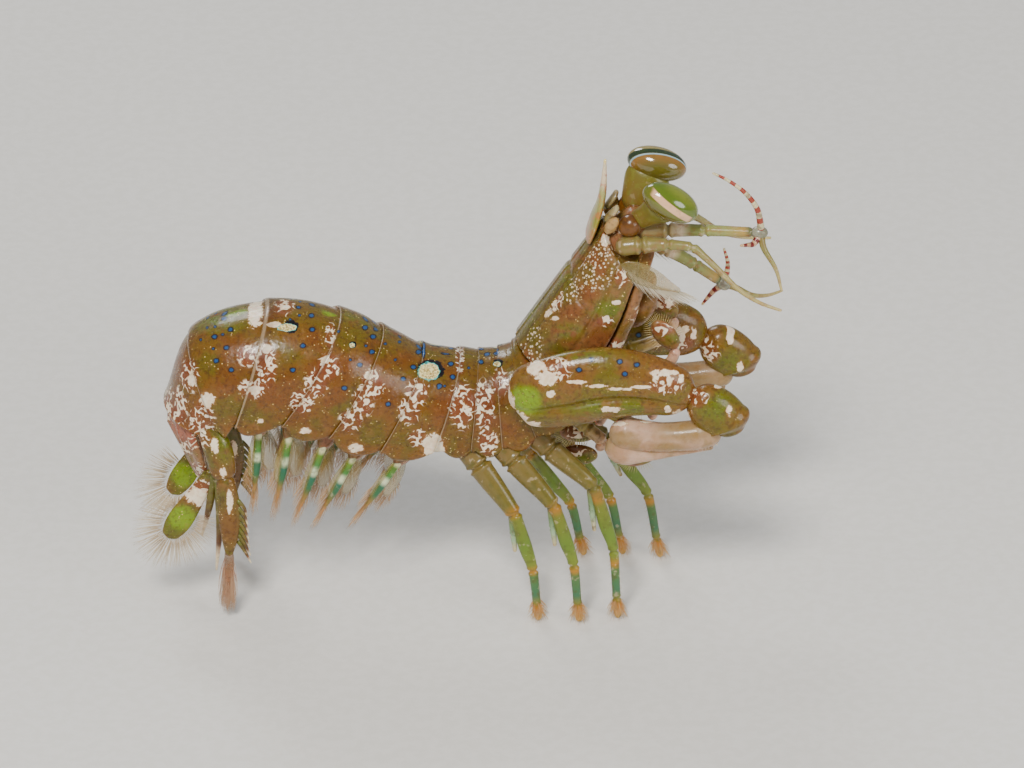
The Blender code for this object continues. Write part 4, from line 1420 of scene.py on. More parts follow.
@dataclass(frozen=True)
class Trunk:
    """The ten rings of the body, each lapped over the one behind it."""

    joints: Rows = (
        (16.4, 22.3, 21.4, 20.0, 4.6),
        (19.4, 29.8, 22.2, 20.6, 5.6),
        (27.3, 32.6, 23.6, 21.3, 6.3),
        (34.7, 31.5, 28.3, 21.4, 6.3),
        (38.7, 29.6, 33.0, 19.9, 6.1),
        (42.7, 27.6, 38.2, 18.2, 5.8),
        (46.6, 27.1, 44.2, 18.3, 5.4),
        (48.1, 27.1, 47.6, 18.2, 5.2),
        (50.0, 27.5, 50.9, 18.5, 5.0),
        (51.2, 28.2, 54.3, 19.9, 4.8),
        (51.5, 29.0, 59.1, 23.8, 4.7),
    )
    names: tuple[str, ...] = (
        "abdomen_6", "abdomen_5", "abdomen_4", "abdomen_3", "abdomen_2",
        "abdomen_1", "thorax_8", "thorax_7", "thorax_6", "thorax_5",
    )
    lip: float = 0.5
    wide_hem: float = 0.25
    hem: tuple[tuple[float, ...], ...] = ((0.05, 0.08, 0.2, 1.0), (0.0, 0.15, 1.1, FAR_AWAY))
    arc: float = math.radians(104)
    widest_at: float = 0.36
    segments: tuple[int, int] = (300, 80)
    knots: tuple[float, ...] = (0.0, 0.02, 0.035, 0.05, 0.08, 0.2, 0.5, 0.93, 0.97, 1.0)
    sizes: tuple[float, ...] = (0.0, 0.95, 0.99, 1.015, 1.03, 1.012, 1.005, 0.975, 0.955, 0.0)

    def half_profile(self) -> list[tuple[float, float]]:
        """Half a section, from the middle of the belly round the side plate to the middle of the back."""
        belly = [(0.0, 0.11), (0.3, 0.11), (0.6, 0.11), (0.78, 0.08), (0.86, 0.0), (0.94, 0.04)]
        turns = np.linspace(self.arc, 0, 12)
        arc = [(math.sin(a) ** 0.9, self.widest_at + (1 - self.widest_at) * math.cos(a)) for a in turns]
        return belly + arc

    def ring(self, index: int) -> Shape:
        """The shape of one ring.

        Args:
            index: Which ring, counted from the tail.

        Returns:
            Its shape.
        """
        known, half = np.array(self.joints, float), self.half_profile()
        joint, following = self.joints[index], self.joints[index + 1]
        per_mm = 2 / (math.dist(joint[:2], following[:2]) + math.dist(joint[2:4], following[2:4]))
        behind = index - self.lip * per_mm
        stops = [behind + way * per_mm for way in (0.35, 0.3, 0.1, 0.0, 0.15, 1.1)]
        stops += [index + 0.5, index + 0.96, index + 1.0, index + 1.0]

        def shape(around: np.ndarray, along: np.ndarray) -> np.ndarray:
            place, size = np.interp(along, self.knots, stops), np.interp(along, self.knots, self.sizes)
            row = smooth_rows(known, place)
            out, up = fold_profile(half, around)
            share = np.clip(place - index, 0, 1)
            plate = np.clip((0.30 - up) / 0.3, 0, 1) * (np.abs(out) > 0.5)
            up = up + plate * (0.13 * np.abs(2 * share - 0.9) ** 2.2 - 0.03)
            low_end, high_end = row[:, [2, 3]], row[:, [0, 1]]
            core = low_end + 0.45 * (high_end - low_end)
            at = low_end + up[:, None] * (high_end - low_end)
            at = core + (at - core) * size[:, None]
            return np.column_stack([at[:, 0], out * row[:, 4] * size, at[:, 1]])

        return shape

    def build(self) -> None:
        """Make the rings."""
        marks = Markings(
            BLUE_SPOTS + DARK_DOTS,
            EYESPOTS,
            EYE_HEARTS,
            BODY_WHITE,
            BODY_LACE,
            moss=BODY_MOSS,
            warmth=BODY_WARMTH,
            lime=BODY_LIME,
        )
        for index, name in enumerate(self.names):
            narrow = self.wide_hem if name == "abdomen_4" else 1.0
            fields = marks.fields(
                top=lambda points, around, along: bell(around, 0.5, 0.11) * 0.8,
                rim=lambda points, around, along, narrow=narrow: narrow * np.interp(along, *self.hem),
            )
            surface(f"{name}_shell", self.segments, self.ring(index), Finish.SHELL, fields, name)


@dataclass(frozen=True)
class Shield:
    """The carapace with the soft sternum under it."""

    start: tuple[float, float, float] = (51.5, 0.0, 29.2)
    pitch: float = math.radians(57.3)
    length: float = 16.0
    depths: tuple[float, ...] = (9.1, 9.0, 8.8, 8.2, 7.2, 6.2)
    half_widths: tuple[float, ...] = (4.7, 4.9, 4.95, 4.7, 4.2, 3.4)
    share: float = 0.76
    sweep: float = 1.6
    widest_at: float = 0.46
    groove: float = 0.22
    strip: float = 0.075

    def half_profile(self) -> list[tuple[float, float]]:
        """Half a section of the shield, from the middle of its underside to the middle of the back."""
        edge = 1 - self.share
        under = [(0.0, edge), (0.4, edge), (0.78, edge), (0.88, edge - 0.01), (0.955, edge + 0.03)]
        turns = np.linspace(math.pi / 2, 0, 12)
        arc = [(math.sin(a) ** 0.85, self.widest_at + (1 - self.widest_at) * math.cos(a)) for a in turns]
        return under + arc

    def stand(self, out: np.ndarray, up: np.ndarray, share: np.ndarray, size: np.ndarray) -> np.ndarray:
        """Places of section shares along the shield's axis.

        Args:
            out: Sideways shares.
            up: Upright shares.
            share: Shares of the length, from the neck forwards.
            size: Size of the section at each.

        Returns:
            Rows of x, y, z in mm.
        """
        ahead = np.array([math.cos(self.pitch), 0, math.sin(self.pitch)])
        down = np.array([math.sin(self.pitch), 0, -math.cos(self.pitch)])
        rows = smooth_rows(np.column_stack([self.depths, self.half_widths]), share * (len(self.depths) - 1))
        depth, half_width = rows[:, 0], rows[:, 1]
        drop = (0.55 + (1 - up - 0.55) * size) * depth
        points = np.array(self.start) + ahead * (self.length * share)[:, None] + down * drop[:, None]
        points[:, 1] = out * half_width * size
        front = np.clip((share - 0.8) / 0.2, 0, 1) ** 2
        return points - ahead * (self.sweep * front * out**2)[:, None]

    def shape(self, around: np.ndarray, along: np.ndarray) -> np.ndarray:
        """The shield's surface, with its lengthwise grooves, raised edge and bosses."""
        knots = (0.0, 0.025, 0.04, 0.07, 0.5, 0.94, 0.97, 0.985, 1.0)
        share = np.interp(along, knots, (0.03, 0.028, 0.014, 0.02, 0.5, 0.985, 1.0, 0.995, 0.985))
        size = np.interp(along, knots, (0.0, 0.95, 1.0, 1.02, 1.01, 1.0, 0.99, 0.96, 0.0))
        out, up = fold_profile(self.half_profile(), around)
        points = self.stand(out, up, share, size)
        middle = self.stand(np.zeros(len(out)), np.full(len(out), 0.5), share, np.ones(len(out)))
        outward = unit(points - middle)
        inner = -self.groove * bell(np.abs(out), 0.52 - 0.1 * share, 0.045) * np.clip((up - 0.5) * 6, 0, 1)
        outer = -0.7 * self.groove * bell(up, 0.52 + 0.05 * share, 0.03)
        hoop = -0.7 * self.groove * bell(share, 0.62 - 0.1 * np.abs(out) ** 2, 0.02) * (np.abs(out) < 0.95)
        keel = 0.08 * bell(out, 0, 0.05) * np.clip((up - 0.7) * 5, 0, 1)
        boss = 0.12 * bell(share, 0.32, 0.1) * bell(np.abs(out), 0.85, 0.12)
        shown = np.clip(size * 4 - 3, 0, 1) * (up > 1 - self.share + 0.02)
        return points + outward * ((inner + outer + hoop + keel + boss) * shown)[:, None]

    def under_shape(self, around: np.ndarray, along: np.ndarray) -> np.ndarray:
        """The sternum's surface, with the folds where mouth limbs are set on."""
        lid = 1 - self.share - 0.045
        half = [(0.0, 0.0), (0.35, 0.0), (0.68, 0.03), (0.82, 0.11)]
        half += [(0.83, lid - 0.03), (0.74, lid), (0.4, lid), (0.0, lid)]
        knots = (0.0, 0.03, 0.06, 0.95, 0.98, 1.0)
        share = np.interp(along, knots, (0.03, 0.015, 0.02, 0.985, 0.995, 0.99))
        size = np.interp(along, knots, (0.0, 0.97, 1.0, 1.0, 0.98, 0.0))
        out, up = fold_profile(half, around)
        folds = 1 - 0.02 * np.abs(np.sin(math.pi * 5 * share)) ** 6 * (size > 0.9)
        return self.stand(out, up, share, size * folds)

    def build(self) -> None:
        """Make the shield and the sternum."""
        marks = Markings(
            white=CARAPACE_WHITE,
            lace=CARAPACE_LACE,
            beads=CARAPACE_BEADS,
            moss=CARAPACE_MOSS,
            warmth=CARAPACE_WARM,
        )
        fields = marks.fields(
            top=lambda points, around, along: np.minimum(bell(around, 0.5, 0.13) * 1.5, 1.2),
            rim=lambda points, around, along: np.minimum(
                np.maximum(along - 0.06, 0) * 17.0, 0.1 + np.abs(np.abs(around - 0.5) - self.strip) * 24.0
            ),
        )
        surface("carapace_shield", (340, 200), self.shape, Finish.CARAPACE, fields, "carapace")
        under = Markings(
            white=((65.2, 31.4, 1.0, 0.5), (65.4, 33.3, 0.9, 0.5)),
            lace=((65.0, 32.0, 1.8, 1.4), (62.0, 35.0, 1.4, 0.8)),
        )
        surface("sternum_skin", (150, 96), self.under_shape, Finish.FLESH, under.fields(), "sternum")


@dataclass(frozen=True)
class Head:
    """The front of the head with its plate, scales and mouthparts."""

    front: Rows = (
        (60.6, 0, 38.6, 1.7, 2.3),
        (62.2, 0, 40.9, 1.8, 2.3),
        (63.6, 0, 42.7, 1.5, 2.0),
        (64.4, 0, 43.6, 0.8, 1.2),
    )
    plate: Rows = (
        (58.7, 0, 40.6, 0.35, 2.0),
        (59.3, 0, 42.4, 0.45, 2.1),
        (59.9, 0, 44.3, 0.42, 1.4),
        (60.2, 0, 46.4, 0.34, 0.52),
        (60.35, 0, 49.3, 0.13, 0.14),
    )

    def build(self) -> None:
        """Make the head's pieces."""
        plain = Markings(lace=((61.4, 22.8, 1.2, 0.8),)).fields()
        surface("head_front_skin", (90, 70), tube(self.front), Finish.FLESH, plain, "head_front")
        surface("rostral_plate_shell", (60, 96), tube(self.plate), Finish.ROSTRUM, node="rostral_plate")
        for side in Side:
            letter, lean = side.letter, 0.2 * side.value
            scale = [
                (*side.point(60.4, 1.1, 43.2), 0.3, 0.6),
                (*side.point(61.2, 1.5, 44.2), 0.32, 0.65),
                (*side.point(61.6, 1.8, 44.9), 0.22, 0.4),
            ]
            surface(f"eye_scale_{letter}", (32, 32), tube(scale), Finish.PALE_SCALE)
            boss = oval(side.point(62.8, 2.1, 43.0), (0.5, lean, 0.8), ACROSS, (1.25, 1.1, 1.15))
            surface(f"amber_boss_{letter}", (48, 36), boss, Finish.AMBER)
            cheek = oval(side.point(61.0, 2.1, 43.0), (0.5, lean, 0.85), ACROSS, (1.1, 0.55, 0.62))
            surface(f"cheek_{letter}", (48, 36), cheek, Finish.PATCH, Markings().fields())
            jaw = oval(side.point(64.1, 0.8, 32.9), (0.5, 0, 0.85), ACROSS, (2.3, 1.1, 1.2))
            node = "mouthparts" if side is Side.RIGHT else None
            surface(f"jaw_{letter}", (56, 42), jaw, Finish.FLESH, plain, node)
        lip = oval((64.5, 0, 35.4), (0.5, 0, 0.85), ACROSS, (1.3, 1.3, 1.0))
        surface("upper_lip", (56, 42), lip, Finish.FLESH, plain)


@dataclass(frozen=True)
class Eye:
    """One stalked eye."""

    side: Side
    root: Point
    centre: Point
    long_way: Point
    neck: float
    end: float
    band_normal: Point
    finish: Finish
    band_shift: float = 0.0
    radii: tuple[float, float, float] = (3.0, 1.7, 1.75)

    def build(self) -> None:
        """Make the cornea and the stalk."""
        letter, shift = self.side.letter, self.band_shift
        root, centre, long_way = (np.array(point) for point in (self.root, self.centre, self.long_way))
        axis, reach, normal = unit(centre - root), unit(long_way), unit(np.array(self.band_normal))
        long_radius, short_radius = self.radii[:2]
        fields = {
            "height": lambda points, around, along: (points - centre) @ normal / short_radius + shift,
            "reach": lambda points, around, along: np.abs((points - centre) @ reach) / long_radius,
        }
        lens = oval(self.centre, self.long_way, axis, self.radii)
        surface(f"cornea_lens_{letter}", (128, 104), lens, self.finish, fields, f"cornea_{letter}")
        widths = [(0.0, 0.95, 0.9), (0.45, self.neck, 1.1)]
        widths += [(0.85, self.end * 1.02, 1.5), (0.97, self.end * 0.95, 1.3)]
        stalk = tube(between(root, centre, widths), unit(np.cross(axis, long_way)))
        surface(f"eye_stalk_skin_{letter}", (64, 60), stalk, Finish.STALK, node=f"eye_stalk_{letter}")


@dataclass(frozen=True)
class Antennule:
    """One first feeler: a jointed stalk that carries three flagella."""

    side: Side
    stalk: Rows
    flagella: Sequence[Rows]
    finishes: tuple[Finish, ...]
    radii: tuple[float, ...] = (0.9, 0.72, 0.58, 0.5)

    def build(self) -> None:
        """Make the stalk, the hub and the flagella."""
        letter = self.side.letter
        shape = tube(round_rows(self.stalk, self.radii), pinches=[Pinch(1.0, 0.28), Pinch(2.0, 0.28)])
        surface(f"antennule_stalk_{letter}", (36, 200), shape, Finish.PEDUNCLE, node=f"antennule_{letter}")
        end, before = np.array(self.stalk[-1]), np.array(self.stalk[-2])
        ahead = unit(end - before)
        hub = oval(end + ahead * 0.55, ahead, ACROSS, (0.85, 0.66, 0.66))
        surface(f"antennule_hub_{letter}", (40, 32), hub, Finish.HUB, node=f"antennule_flagella_{letter}")
        for number, (route, finish) in enumerate(zip(self.flagella, self.finishes), 1):
            points = [tuple(end + ahead * 0.7), *route]
            shape = tube(round_rows(points, np.linspace(0.4, 0.12, len(points))), (0.1, 1, 0.2))
            surface(f"flagellum_{number}_{letter}", (16, 120), shape, finish)


@dataclass(frozen=True)
class Antenna:
    """One second feeler with its flagellum and its fringed scale."""

    side: Side
    route: Rows
    stalk: Rows = ((61.4, 2.7, 40.9), (64.2, 2.9, 41.3), (66.8, 3.1, 41.4), (68.9, 3.3, 41.2))
    scale: Rows = ((61.9, 3.6, 39.4), (67.8, 4.6, 37.0))

    def build(self) -> None:
        """Make the stalk with its flagellum, and the scale with its fringe."""
        letter, side = self.side.letter, self.side
        radii = [1.0, 0.85, 0.54, 0.45, *np.linspace(0.36, 0.14, len(self.route))]
        rows = round_rows(mirrored([*self.stalk, *self.route], side), radii)
        feeler = tube(rows, pinches=[Pinch(0.9), Pinch(1.9), Pinch(3.0, 0.3)])
        surface(f"antenna_feeler_{letter}", (28, 240), feeler, Finish.FEELER, node=f"antenna_{letter}")
        root, tip = (np.array(point) for point in mirrored(self.scale, side))
        widths = (0.45, 0.95, 1.1, 0.95, 0.55, 0.2)
        rows = between(root, tip, [(i / 5, width, 0.16) for i, width in enumerate(widths)])
        blade = tube(rows, (0, 1, 0.15 * side.value))
        surface(f"antennal_blade_{letter}", (40, 70), blade, Finish.SCALE, node=f"antennal_scale_{letter}")
        fringe = Strands(11 + side.value)
        shares = np.linspace(0.02, 1.0, 9)
        swell = [math.sin(math.pi * share) for share in shares]
        roots = [root + (tip - root) * share + np.array((0, 0, -0.5 * s)) for share, s in zip(shares, swell)]
        headings = [(0.45 + 0.5 * share, 0.1 * side.value, -0.83 + 0.4 * share) for share in shares]
        fringe.fan(roots, headings, 110, [2.3 + 1.5 * s for s in swell], 0.05, 0.03)
        fringe.build(f"antennal_fringe_{letter}", Finish.CLEAR_BRISTLE)


@dataclass(frozen=True)
class Claw:
    """One folded raptorial claw, given on the left: x, y, z, half depth and half thickness in mm."""

    side: Side
    shift: tuple[float, float]
    base: Rows = ((58.6, 3.0, 26.4, 1.1, 1.0), (56.2, 5.4, 24.6, 1.3, 1.1), (53.6, 7.0, 25.4, 1.7, 1.3))
    merus: Rows = (
        (50.9, 7.4, 26.2, 1.7, 1.1),
        (52.4, 7.4, 26.6, 3.2, 1.8),
        (56.0, 7.4, 27.3, 4.0, 2.1),
        (60.6, 7.4, 28.2, 3.9, 2.1),
        (65.2, 7.4, 27.8, 3.2, 1.9),
        (69.2, 7.4, 26.4, 2.2, 1.4),
    )
    carpus: Rows = (
        (68.6, 7.4, 26.8, 1.4, 1.2),
        (70.6, 7.4, 25.6, 2.4, 1.7),
        (72.4, 7.4, 23.8, 2.4, 1.6),
        (72.9, 7.4, 22.2, 1.4, 1.1),
    )
    propodus: Rows = (
        (72.0, 7.4, 22.9, 1.2, 1.1),
        (69.8, 7.4, 22.3, 1.5, 1.4),
        (66.0, 7.4, 22.0, 1.5, 1.4),
        (62.6, 7.4, 22.4, 1.7, 1.5),
        (60.9, 7.4, 22.9, 1.5, 1.3),
    )
    dactyl: Rows = (
        (60.9, 7.4, 21.9, 0.9, 0.8),
        (62.2, 7.4, 20.6, 1.6, 1.2),
        (64.3, 7.4, 20.3, 1.1, 0.9),
        (67.2, 7.4, 20.4, 0.6, 0.55),
        (71.2, 7.4, 20.9, 0.3, 0.3),
    )

    def moved(self, rows: Rows) -> list[tuple[float, ...]]:
        """Rows on this side in this claw's pose."""
        x, z = self.shift
        return [(row[0] + x, row[1] * self.side.value, row[2] + z, *row[3:]) for row in rows]

    def merus_shape(self) -> Shape:
        """The broad merus, with a groove along its outer face."""
        plain = tube(self.moved(self.merus))

        def shape(around: np.ndarray, along: np.ndarray) -> np.ndarray:
            points = plain(around, along)
            middle = self.merus[0][1] * self.side.value
            share = arc_share(along)
            shown = np.sin(math.pi * share) ** 0.5
            face = bell(np.sin(2 * math.pi * around), self.side.value, 0.5)
            dent = 0.25 * bell(np.cos(2 * math.pi * around), 0.25, 0.12) * face * shown
            points[:, 1] = middle + (points[:, 1] - middle) * (1 - dent)
            return points

        return shape

    def build(self) -> None:
        """Make the claw's lengths and teeth."""
        letter = self.side.letter
        x, z = self.shift
        shift = (x, -z * math.cos(VIEW_TILT))
        fields = Markings(
            MERUS_SPOTS, white=MERUS_WHITE, lace=MERUS_LACE, moss=MERUS_MOSS, lime=MERUS_LIME, shift=shift
        ).fields()
        hand = Markings(white=HAND_WHITE, warmth=HAND_OLIVE, shift=shift).fields()
        shape, node = self.merus_shape(), f"claw_merus_{letter}"
        surface(f"claw_merus_shell_{letter}", (200, 200), shape, Finish.CLAW, fields, node)
        base = mirrored(self.base, self.side)
        base[-1] = (base[-1][0] + x, *base[-1][1:])
        surface(f"claw_base_{letter}", (56, 70), tube(base, (0.2, 1, 0)), Finish.CLAW, fields)
        shape = tube(self.moved(self.carpus), pinches=[Pinch(2.45, 0.12, 0.3)])
        surface(f"claw_carpus_shell_{letter}", (110, 96), shape, Finish.CLAW, fields, f"claw_carpus_{letter}")
        for name, rows, around in (("propodus", self.propodus, 84), ("dactyl", self.dactyl, 72)):
            shape, node = tube(self.moved(rows)), f"claw_{name}_{letter}"
            surface(f"claw_{name}_shell_{letter}", (around, 130), shape, Finish.HAND, hand, node)
        comb = Strands(3 + self.side.value, 6)
        hand_rows = np.array(self.moved(self.propodus))
        for share in np.linspace(0.06, 0.9, 26):
            row = smooth_rows(hand_rows, np.array([share * (len(hand_rows) - 1)]))[0]
            root = row[:3] + np.array((0, 0.35 * self.side.value, -0.9 * row[3]))
            comb.add(root, root + np.array((0.05, 0, -0.42)), 0.12)
        comb.build(f"claw_comb_{letter}", Finish.TOOTH, 1.0)


@dataclass(frozen=True)
class Maxilliped:
    """One small grasping limb under the mouth, given on the left."""

    number: int
    side: Side
    route: Rows
    hand: Point
    along: Point

    def build(self) -> None:
        """Make the arm, the oval hand and its bristles."""
        name = f"maxilliped_{self.number}_{self.side.letter}"
        arm = round_rows(mirrored(self.route, self.side), (0.85, 0.72, 0.6, 0.5))
        shape = tube(arm, pinches=[Pinch(1.0), Pinch(2.0)])
        surface(f"{name}_arm", (28, 110), shape, Finish.MAXILLIPED, node=name)
        hand, along = (np.array(mirrored([value], self.side)[0], float) for value in (self.hand, self.along))
        palm = oval(hand, along, (0, 0, 1), (1.9, 1.1, 0.55))
        x, down = mark_plane(hand[None, :])[0]
        marks = Markings(lace=((x - 0.3, down - 0.5, 1.1, 0.6),), moss=((x + 0.6, down + 0.4, 1.2, 0.6),))
        surface(f"{name}_palm", (44, 44), palm, Finish.FLESH, marks.fields())
        tuft = Strands(20 + self.number)
        up = unit(np.cross(ACROSS, along))
        for turn in np.linspace(-1.9, 1.9, 34):
            heading = along * math.cos(turn) + up * math.sin(turn)
            root = hand + along * 1.7 * math.cos(turn) + up * 0.95 * math.sin(turn)
            tuft.add(root, root + unit(heading) * 1.1, 0.04)
        tuft.build(f"{name}_bristles", Finish.STRAW_BRISTLE)


@dataclass(frozen=True)
class WalkingLeg:
    """One slender walking leg with its stick-like outer branch."""

    number: int
    side: Side
    points: Rows

    def build(self) -> None:
        """Make the leg, the branch and the bristles of the foot."""
        root, upper, lower, foot = (np.array(point, float) for point in self.points)
        name = f"leg_{self.number}_{self.side.letter}"
        stations = between(root, upper, ((0.0, 1.25, 1.0), (0.5, 1.15, 0.85), (0.9, 0.85, 0.7)))
        stations += between(upper, lower, ((0.1, 0.62, 0.55), (0.6, 0.70, 0.5)))
        stations += between(lower, foot, ((0.0, 0.5, 0.42), (0.62, 0.42, 0.36), (0.86, 0.46, 0.36)))
        stations.append((*(foot + (0, 0, 0.02)), 0.26, 0.24))
        pinches = [Pinch(0.7), Pinch(2.6, 0.3), Pinch(5.0, 0.3), Pinch(6.2, 0.2, 0.12)]
        surface(f"{name}_limb", (28, 240), tube(stations, pinches=pinches), Finish.LEG, node=name)
        start = root + 0.93 * (upper - root)
        end = start + (lower - upper) * 0.72 + np.array((-0.9, 0.15 * self.side.value, -0.2))
        rows = between(start, end, ((0.0, 0.36, 0.3), (0.6, 0.34, 0.28), (1.0, 0.18, 0.18)))
        surface(f"{name}_branch", (20, 70), tube(rows, pinches=[Pinch(1.0, 0.2, 0.1)]), Finish.BRANCH)
        tuft = Strands(40 + self.number)
        down = unit(foot - lower)
        for turn in np.linspace(0, 8 * math.pi, 120, endpoint=False):
            out = np.array((math.cos(turn), math.sin(turn), 0.0))
            rise = tuft.random.uniform(0.9, 2.5)
            reach = min(tuft.random.uniform(0.9, 1.7), rise - 0.1)
            base = foot - down * rise + out * 0.3
            tuft.add(base, base + down * reach + out * tuft.random.uniform(0.2, 1.0), 0.032, out * 0.1)
        for share in np.linspace(0.15, 0.9, 26):
            way = (-1) ** int(share * 100)
            base = lower + (foot - lower) * share * 0.9 + np.array((0.3 * way, 0, 0))
            tuft.add(base, base + np.array((0.35 * way, 0, -0.35)), 0.025)
        tuft.build(f"{name}_bristles", Finish.ORANGE_BRISTLE)


@dataclass(frozen=True)
class Swimmeret:
    """One swimmeret: two fringed leaves on a stalk, with a banded leading edge."""

    number: int
    side: Side
    root: Point
    tip: Point
    out: float = 3.6
    twist: float = math.radians(45)
    leaf_share: float = 0.6
    widths: Rows = ((0.0, 0.45), (0.25, 0.9), (0.5, 1.15), (0.8, 1.05), (1.0, 0.5))

    def build(self) -> None:
        """Make the stalk, the leaves and their fringes."""
        name, sign = f"swimmeret_{self.number}_{self.side.letter}", self.side.value
        top = np.array(self.side.point(self.root[0], self.out, self.root[1]))
        end = np.array(self.side.point(self.tip[0], self.out, self.tip[1]))
        length = float(np.linalg.norm(end - top))
        leaf = length * self.leaf_share
        down = unit(end - top)
        rear = np.array((down[2], 0, -down[0]))
        wide = rear * math.sin(self.twist) + np.array((0, sign, 0)) * math.cos(self.twist)
        thin = np.cross(down, wide)
        widths = ((-2.0, 1.0, 0.9), (1.2, 1.1, 0.75), (2.8, 0.9, 0.4))
        stem = [(*(top + down * reach), width, thick) for reach, width, thick in widths]
        surface(f"{name}_stalk", (36, 40), tube(stem, thin), Finish.FLESH, Markings().fields(), name)
        fringe = Strands(60 + self.number)
        for part, word in ((1, "outer"), (-1, "inner")):
            fork = top + down * 2.0 + wide * part * 0.4
            heading = unit(down * leaf + wide * part * 0.85)
            spread = np.cross(thin, heading)
            rows = [(*(fork + heading * leaf * share), width, 0.24) for share, width in self.widths]
            surface(f"{name}_{word}_leaf", (40, 60), tube(rows, thin), Finish.LEAF)
            if part == 1:
                rib = [(*(top - down * 0.5), 0.6, 0.6)]
                for share in (0.1, 0.45, 0.8):
                    rib.append((*(fork + heading * leaf * share + thin * 0.12 * sign), 0.42, 0.4))
                rib.append((*(fork + heading * leaf * 1.42), 0.1, 0.1))
                surface(f"{name}_leading_edge", (20, 90), tube(rib, thin), Finish.LEAF_EDGE)
                ends = [fork + heading * leaf * 1.05 + spread * k for k in (-0.12, 0.0, 0.12)]
                ways = [heading + spread * k for k in (-0.14, 0.0, 0.14)]
                fringe.fan(ends, ways, 30, [3.5, 4.3, 3.5], 0.042, 0.035)
            turns = [(math.cos(turn), math.sin(turn)) for turn in np.linspace(-1.45, 1.45, 9)]
            roots = [fork + heading * leaf * (0.62 + 0.34 * c) + spread * 0.95 * s for c, s in turns]
            ways = [heading * (0.75 + 0.25 * c) + spread * 0.6 * s for c, s in turns]
            fringe.fan(roots, ways, 60, [length * (0.14 + 0.17 * c) for c, s in turns], 0.04, 0.05)
        fringe.build(f"{name}_fringe", Finish.TAN_BRISTLE)


